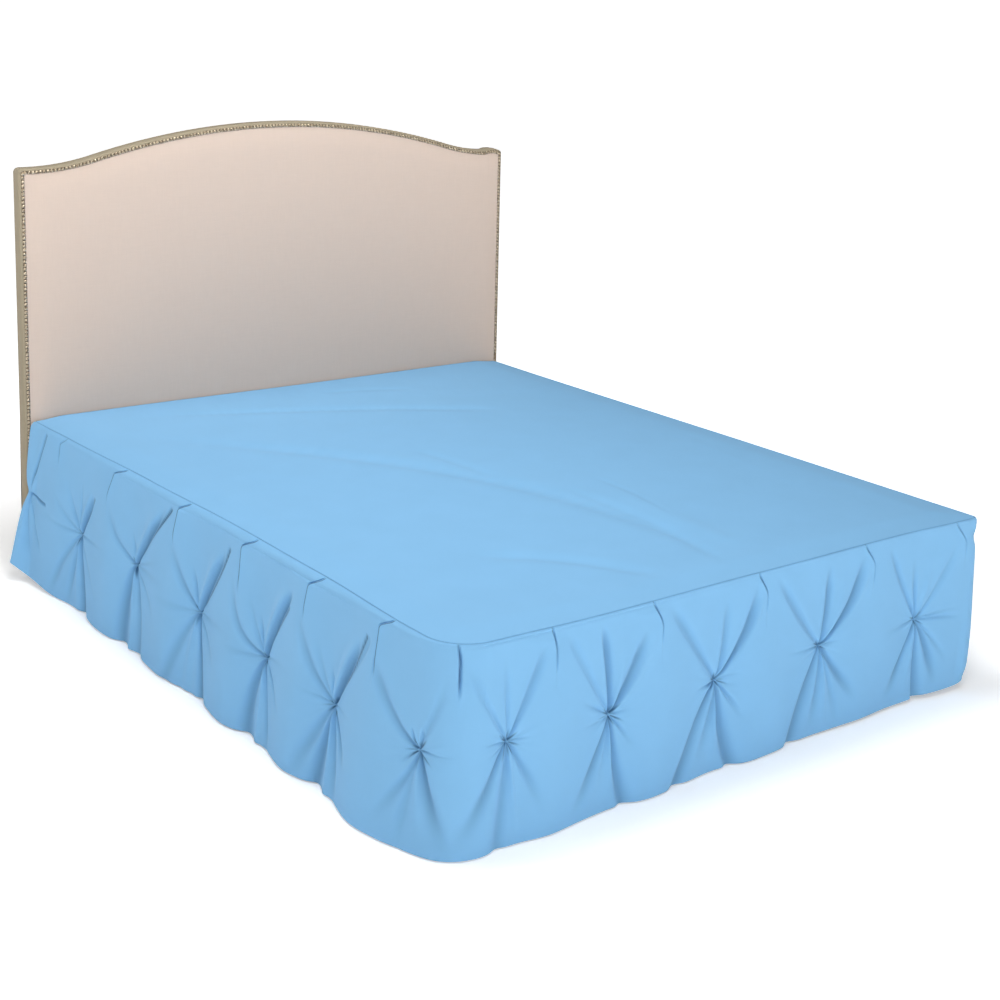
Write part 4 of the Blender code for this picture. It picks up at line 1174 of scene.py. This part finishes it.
def linen_look(name, colour, crease, band):
    """A slubbed weave in one colour, with a painted shadow in the crease and painted shade on the
    band, where its attribute says.
    """
    material, tree, shader = new_material(name)
    place = add_node(tree, "ShaderNodeTexCoord").outputs["Object"]
    painted_border_shade = add_node(tree, "ShaderNodeAttribute", attribute_name="painted_border_shade").outputs["Fac"]
    # Panel colour, then a painted shadow in the nail crease, then the painted shade of the sides.
    painted_bands = add_ramp(tree, painted_border_shade, [(position, linear(shade)) for position, shade in (
        (0.0, colour), (0.16, colour), (0.42, crease), (0.60, crease), (0.80, band), (1.0, band))])
    slubs = []
    for along, across in ((1.0, SLUB_LENGTH), (SLUB_LENGTH, 1.0)):
        stretch = add_node(tree, "ShaderNodeMapping", {"Vector": place, "Scale": (along, 1.0, across)})
        slubs.append(add_node(tree, "ShaderNodeTexNoise", {
            "Vector": stretch.outputs["Vector"], "Scale": 1.0 / (SLUB_LENGTH * SLUB_WIDTH),
            "Detail": 4.0}).outputs["Fac"])
    weave = add_node(tree, "ShaderNodeMath", {0: slubs[0], 1: slubs[1]}, operation="ADD")
    tone = add_node(tree, "ShaderNodeMapRange", {"Value": weave.outputs["Value"],
                                                 "From Min": 0.6, "From Max": 1.4})
    yarn = add_mix(tree, tone.outputs["Result"], (0.955, 0.955, 0.955, 1.0), (1.0, 1.0, 1.0, 1.0))
    bump = add_node(tree, "ShaderNodeBump", {"Height": weave.outputs["Value"],
                                             "Strength": 0.12, "Distance": 0.0005})
    set_inputs(tree, shader, {
        "Base Color": add_mix(tree, 1.0, painted_bands, yarn, blend_type="MULTIPLY"),
        "Normal": bump.outputs["Normal"], "Roughness": 0.82, "Sheen Weight": 0.08,
        "Specular IOR Level": 0.3})
    return material


# 2e231b is the painted shadow in the nail crease and a2967f the painted shade of the side band.
board_cloth = linen_look("linen-look upholstery, warm beige", "dfc9b9", "2e231b", "a2967f")
board = add_piece("headboard_upholstery", board_mesh, board_cloth)
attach(board, "root")
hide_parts("headboard")

# %% [markdown]
# ## The row of nails
#
# Antiqued brass nails, each with a domed head about 10 mm across, are driven edge to edge
# round the sides and the top. One head repeated along a path is what Geometry Nodes are for:
# the tree takes the path, the pitch and the head's size, and turns each head a little.

# %% The nails' path and tree
NAIL_PITCH = 0.0108
NAIL_RADIUS = 0.0052
NAIL_HEIGHT = 0.0042
NAIL_SEED = 7


def antique_brass(name):
    """Brass, blackened and rubbed back, so its crowns shine and its rims stay dark."""
    material, tree, shader = new_material(name)
    place = add_node(tree, "ShaderNodeTexCoord").outputs["Object"]
    grime = add_node(tree, "ShaderNodeTexNoise", {"Vector": place, "Scale": 260.0, "Detail": 2.0})
    tone = add_ramp(tree, grime.outputs["Fac"], ((0.35, linear("8c7a64")), (0.62, linear("e3d2b8"))))
    set_inputs(tree, shader, {"Base Color": tone, "Metallic": 1.0, "Roughness": 0.28})
    return material


def nail_path():
    """A curve along the middle of the border, up one side, over the arch and down the other."""
    half = BOARD_WIDTH / 2 - NAIL_INSET
    side_top = BOARD_SHOULDER - NAIL_INSET
    x = np.linspace(-half, half, 260)
    rise = np.gradient(board_top(x), x)
    rise[np.abs(x) > half - 0.01] = 0.0
    z = np.minimum(board_top(x), BOARD_SHOULDER + BOARD_RISE) - NAIL_INSET * np.sqrt(1 + rise ** 2)
    z[[0, -1]] = side_top
    line = [(-half, BOARD_BOTTOM + 0.012)] + list(zip(x, z)) + [(half, BOARD_BOTTOM + 0.012)]
    curve = bpy.data.curves.new("nail_path", "CURVE")
    curve.dimensions = "3D"
    spline = curve.splines.new("POLY")
    spline.points.add(len(line) - 1)
    y = BOARD_FRONT + PAD_CROWN + BED_PLACE.y
    for point, (px, pz) in zip(spline.points, line):
        point.co = (float(spread_out(px, pz)) + BOARD_X + BED_PLACE.x, y, pz, 1.0)
    holder = bpy.data.objects.new("nail_path", curve)
    bpy.context.scene.collection.objects.link(holder)
    return holder


def nail_tree(material):
    """Heads at an even pitch along a path, each turned and sized a little by chance."""
    tree = bpy.data.node_groups.new("nails along a path", "GeometryNodeTree")
    tree.interface.new_socket("Path", in_out="INPUT", socket_type="NodeSocketGeometry")
    for name in ("Pitch", "Head radius", "Head height"):
        tree.interface.new_socket(name, in_out="INPUT", socket_type="NodeSocketFloat")
    tree.interface.new_socket("Nails", in_out="OUTPUT", socket_type="NodeSocketGeometry")
    given = add_node(tree, "NodeGroupInput").outputs
    spaced = add_node(tree, "GeometryNodeResampleCurve", {"Curve": given["Path"],
                                                          "Length": given["Pitch"]}, mode="LENGTH")
    dome = add_node(tree, "GeometryNodeMeshUVSphere", {"Segments": 8, "Rings": 6,
                                                       "Radius": given["Head radius"]})
    flat = add_node(tree, "ShaderNodeMath", {0: given["Head height"], 1: given["Head radius"]},
                    operation="DIVIDE")
    shape = add_node(tree, "ShaderNodeCombineXYZ", {"X": 1.0, "Y": flat.outputs["Value"], "Z": 1.0})
    head = add_node(tree, "GeometryNodeTransform", {"Geometry": dome.outputs["Mesh"],
                                                    "Scale": shape.outputs["Vector"]})
    chance = add_node(tree, "FunctionNodeRandomValue", {"Min": (-0.10, -0.6, -0.10),
                                                        "Max": (0.10, 0.6, 0.10), "Seed": NAIL_SEED},
                      data_type="FLOAT_VECTOR")
    size = add_node(tree, "FunctionNodeRandomValue", {2: 0.94, 3: 1.04, "Seed": NAIL_SEED + 1},
                    data_type="FLOAT")
    heads = add_node(tree, "GeometryNodeInstanceOnPoints", {
        "Points": spaced.outputs["Curve"], "Instance": head.outputs["Geometry"],
        "Rotation": chance.outputs[0], "Scale": size.outputs[1]})
    real = add_node(tree, "GeometryNodeRealizeInstances", {"Geometry": heads.outputs["Instances"]})
    soft = add_node(tree, "GeometryNodeSetShadeSmooth", {"Geometry": real.outputs["Geometry"]})
    done = add_node(tree, "GeometryNodeSetMaterial", {"Geometry": soft.outputs["Geometry"],
                                                      "Material": material})
    add_node(tree, "NodeGroupOutput", {"Nails": done.outputs["Geometry"]})
    return tree


# %% Drive the nails
nail_metal = antique_brass("antiqued brass, domed nail heads")
holder = nail_path()
modifier = holder.modifiers.new("nails", "NODES")
modifier.node_group = nail_tree(nail_metal)
sizes = {"Pitch": NAIL_PITCH, "Head radius": NAIL_RADIUS, "Head height": NAIL_HEIGHT}
for socket in modifier.node_group.interface.items_tree:
    if socket.item_type == "SOCKET" and socket.name in sizes:
        modifier[socket.identifier] = sizes[socket.name]
evaluated = holder.evaluated_get(bpy.context.evaluated_depsgraph_get())
nail_mesh = bpy.data.meshes.new_from_object(evaluated)
holder.modifiers.clear()
bpy.data.objects.remove(holder, do_unlink=True)
nail_mesh.materials.clear()
nails = add_piece("headboard_nails", nail_mesh, nail_metal)
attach(nails, "root")

# %% [markdown]
# ## The base and the legs
#
# The skirt hides the base, so it and the legs stay the plain solids of the CAD model, with
# their own finishes: a natural cotton ticking on the boxed base, and stained beech legs with
# a satin lacquer, whose grain runs down the leg.

# %% Finishes of the base and the legs
def cotton_ticking(name):
    """A natural cloth with faint stripes 24 mm apart."""
    material, tree, shader = new_material(name)
    place = add_node(tree, "ShaderNodeTexCoord").outputs["Object"]
    stripe = add_node(tree, "ShaderNodeTexWave", {"Vector": place, "Scale": 1.0 / 0.024 / 6.283,
                                                  "Distortion": 0.3}, bands_direction="X")
    tone = add_mix(tree, stripe.outputs["Fac"], linear("cfc9bd"), linear("c6bfb1"))
    set_inputs(tree, shader, {"Base Color": tone, "Roughness": 0.9})
    return material


def stained_beech(name):
    """A dark stain on wood whose grain runs up and down."""
    material, tree, shader = new_material(name)
    place = add_node(tree, "ShaderNodeTexCoord").outputs["Object"]
    grain_place = add_node(tree, "ShaderNodeMapping", {"Vector": place, "Scale": (90.0, 90.0, 6.0)})
    grain = add_node(tree, "ShaderNodeTexNoise", {"Vector": grain_place.outputs["Vector"],
                                                  "Scale": 1.0, "Detail": 4.0})
    tone = add_mix(tree, grain.outputs["Fac"], linear("2e1e15"), linear("4a3324"))
    set_inputs(tree, shader, {"Base Color": tone, "Roughness": 0.38})
    return material


ticking = cotton_ticking("natural cotton ticking")
beech = stained_beech("stained beech, satin lacquer")
for name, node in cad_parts.items():
    if name == "bed_base" or "_leg_" in name:
        node.data.materials.clear()
        node.data.materials.append(ticking if name == "bed_base" else beech)
print("The base and", sum("_leg_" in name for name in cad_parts), "legs have their finishes")

# %% [markdown]
# ## Floor, camera and light
#
# The floor is plain and pale, with painted light: it glows a little, more the farther it lies
# from the bed, as if the far lamps of a white studio lit it, and that glow lights the bed too.
# The camera looks down on the near corner of the foot, with a slight roll. Seven broad lamps
# stand round the foot and the left side, so both drops are about equally bright and each fold
# has a lit and a shaded flank. One weak lamp overhead and a dim room fill the rest.

# %% The floor
bpy.ops.mesh.primitive_plane_add(size=6000.0)
floor = bpy.context.object
floor.name = "floor"
floor_paint, floor_tree, floor_shader = new_material("white studio floor, painted glow")
place = add_node(floor_tree, "ShaderNodeTexCoord").outputs["Object"]
# The floor's emission is painted light, rising from none near the bed to full far away.
away = add_node(floor_tree, "ShaderNodeVectorMath", {0: place}, operation="LENGTH")
painted_floor_glow = add_node(floor_tree, "ShaderNodeMapRange", {
    "Value": away.outputs["Value"], "From Min": 0.35, "From Max": 2.8, "To Max": 0.95})
set_inputs(floor_tree, floor_shader, {
    "Emission Strength": painted_floor_glow.outputs["Result"], "Emission Color": (1.0, 1.0, 1.0, 1.0),
    "Base Color": linear("fafafa"), "Roughness": 1.0, "Specular IOR Level": 0.0})
floor.data.materials.append(floor_paint)
print("The bed stands on", floor_paint.name)

# %% The camera
AZIMUTH = math.radians(-37.75)
ELEVATION = math.radians(17.31)
ROLL = math.radians(2.03)
DISTANCE = 4.37
LENS = 60.23
AIM = Vector((-0.014, -0.114, 0.394)) + BED_PLACE

back = Vector((math.sin(AZIMUTH) * math.cos(ELEVATION), -math.cos(AZIMUTH) * math.cos(ELEVATION),
               math.sin(ELEVATION)))
across = Vector((0.0, 0.0, 1.0)).cross(back).normalized()
upward = back.cross(across)
rolled_x = across * math.cos(ROLL) + upward * math.sin(ROLL)
rolled_y = upward * math.cos(ROLL) - across * math.sin(ROLL)
camera_data = bpy.data.cameras.new("camera")
camera_data.lens = LENS
camera_data.sensor_width = 36.0
camera_data.clip_end = 4000.0
camera = bpy.data.objects.new("camera", camera_data)
bpy.context.scene.collection.objects.link(camera)
camera.matrix_world = Matrix.Translation(AIM + DISTANCE * back) @ Matrix(
    (rolled_x, rolled_y, back)).transposed().to_4x4()
bpy.context.scene.camera = camera
print("The camera stands", DISTANCE, "m from the bed, with a", LENS, "mm lens")

# %% The lights
Sun = namedtuple("Sun", "name azimuth elevation strength softness")
SUNS = (
    Sun("overhead", 0.0, 90.0, 0.34, 40.0),
)
Softbox = namedtuple("Softbox", "name x y z size power")
SOFTBOXES = (
    Softbox("left of the head", -3.1, 1.0, 2.8, 1.2, 27.0),
    Softbox("over the head", -0.35, -0.1, 3.4, 1.2, 47.0),
    Softbox("top left", -1.3, -2.2, 3.6, 1.2, 40.0),
    Softbox("low left", -4.0, -1.8, 1.6, 1.2, 8.0),
    Softbox("front", -1.0, -5.4, 3.5, 1.5, 21.0),
    Softbox("low front", -0.5, -5.0, 1.4, 1.2, 7.0),
    Softbox("front right", 0.6, -4.7, 1.3, 1.2, 27.5),
)
LAMP_AIM = Vector((0.0, 0.0, 0.35))
ROOM_LIGHT = 0.03


def add_lamp(row, kind, energy):
    """A lamp of one kind in the scene, and its data for the settings that differ."""
    light = bpy.data.lights.new(row.name, kind)
    light.energy = energy
    lamp = bpy.data.objects.new(row.name, light)
    bpy.context.scene.collection.objects.link(lamp)
    return lamp


for row in SUNS:
    lamp = add_lamp(row, "SUN", row.strength)
    lamp.data.angle = math.radians(row.softness)
    lamp.rotation_euler = (math.radians(90.0 - row.elevation), 0.0, math.radians(row.azimuth))
for row in SOFTBOXES:
    lamp = add_lamp(row, "AREA", row.power)
    lamp.data.shape = "DISK"
    lamp.data.size = row.size
    place = Vector((row.x, row.y, row.z))
    lamp.location = place + BED_PLACE
    lamp.rotation_euler = (place - LAMP_AIM).to_track_quat("Z", "Y").to_euler()

world = bpy.data.worlds.new("dim room")
bpy.context.scene.world = world
world.use_nodes = True
set_inputs(world.node_tree, world.node_tree.nodes["Background"],
           {"Color": (1.0, 1.0, 1.0, 1.0), "Strength": ROOM_LIGHT})
bpy.context.scene.view_settings.view_transform = "Standard"
print(len(SUNS) + len(SOFTBOXES), "lamps light the bed")
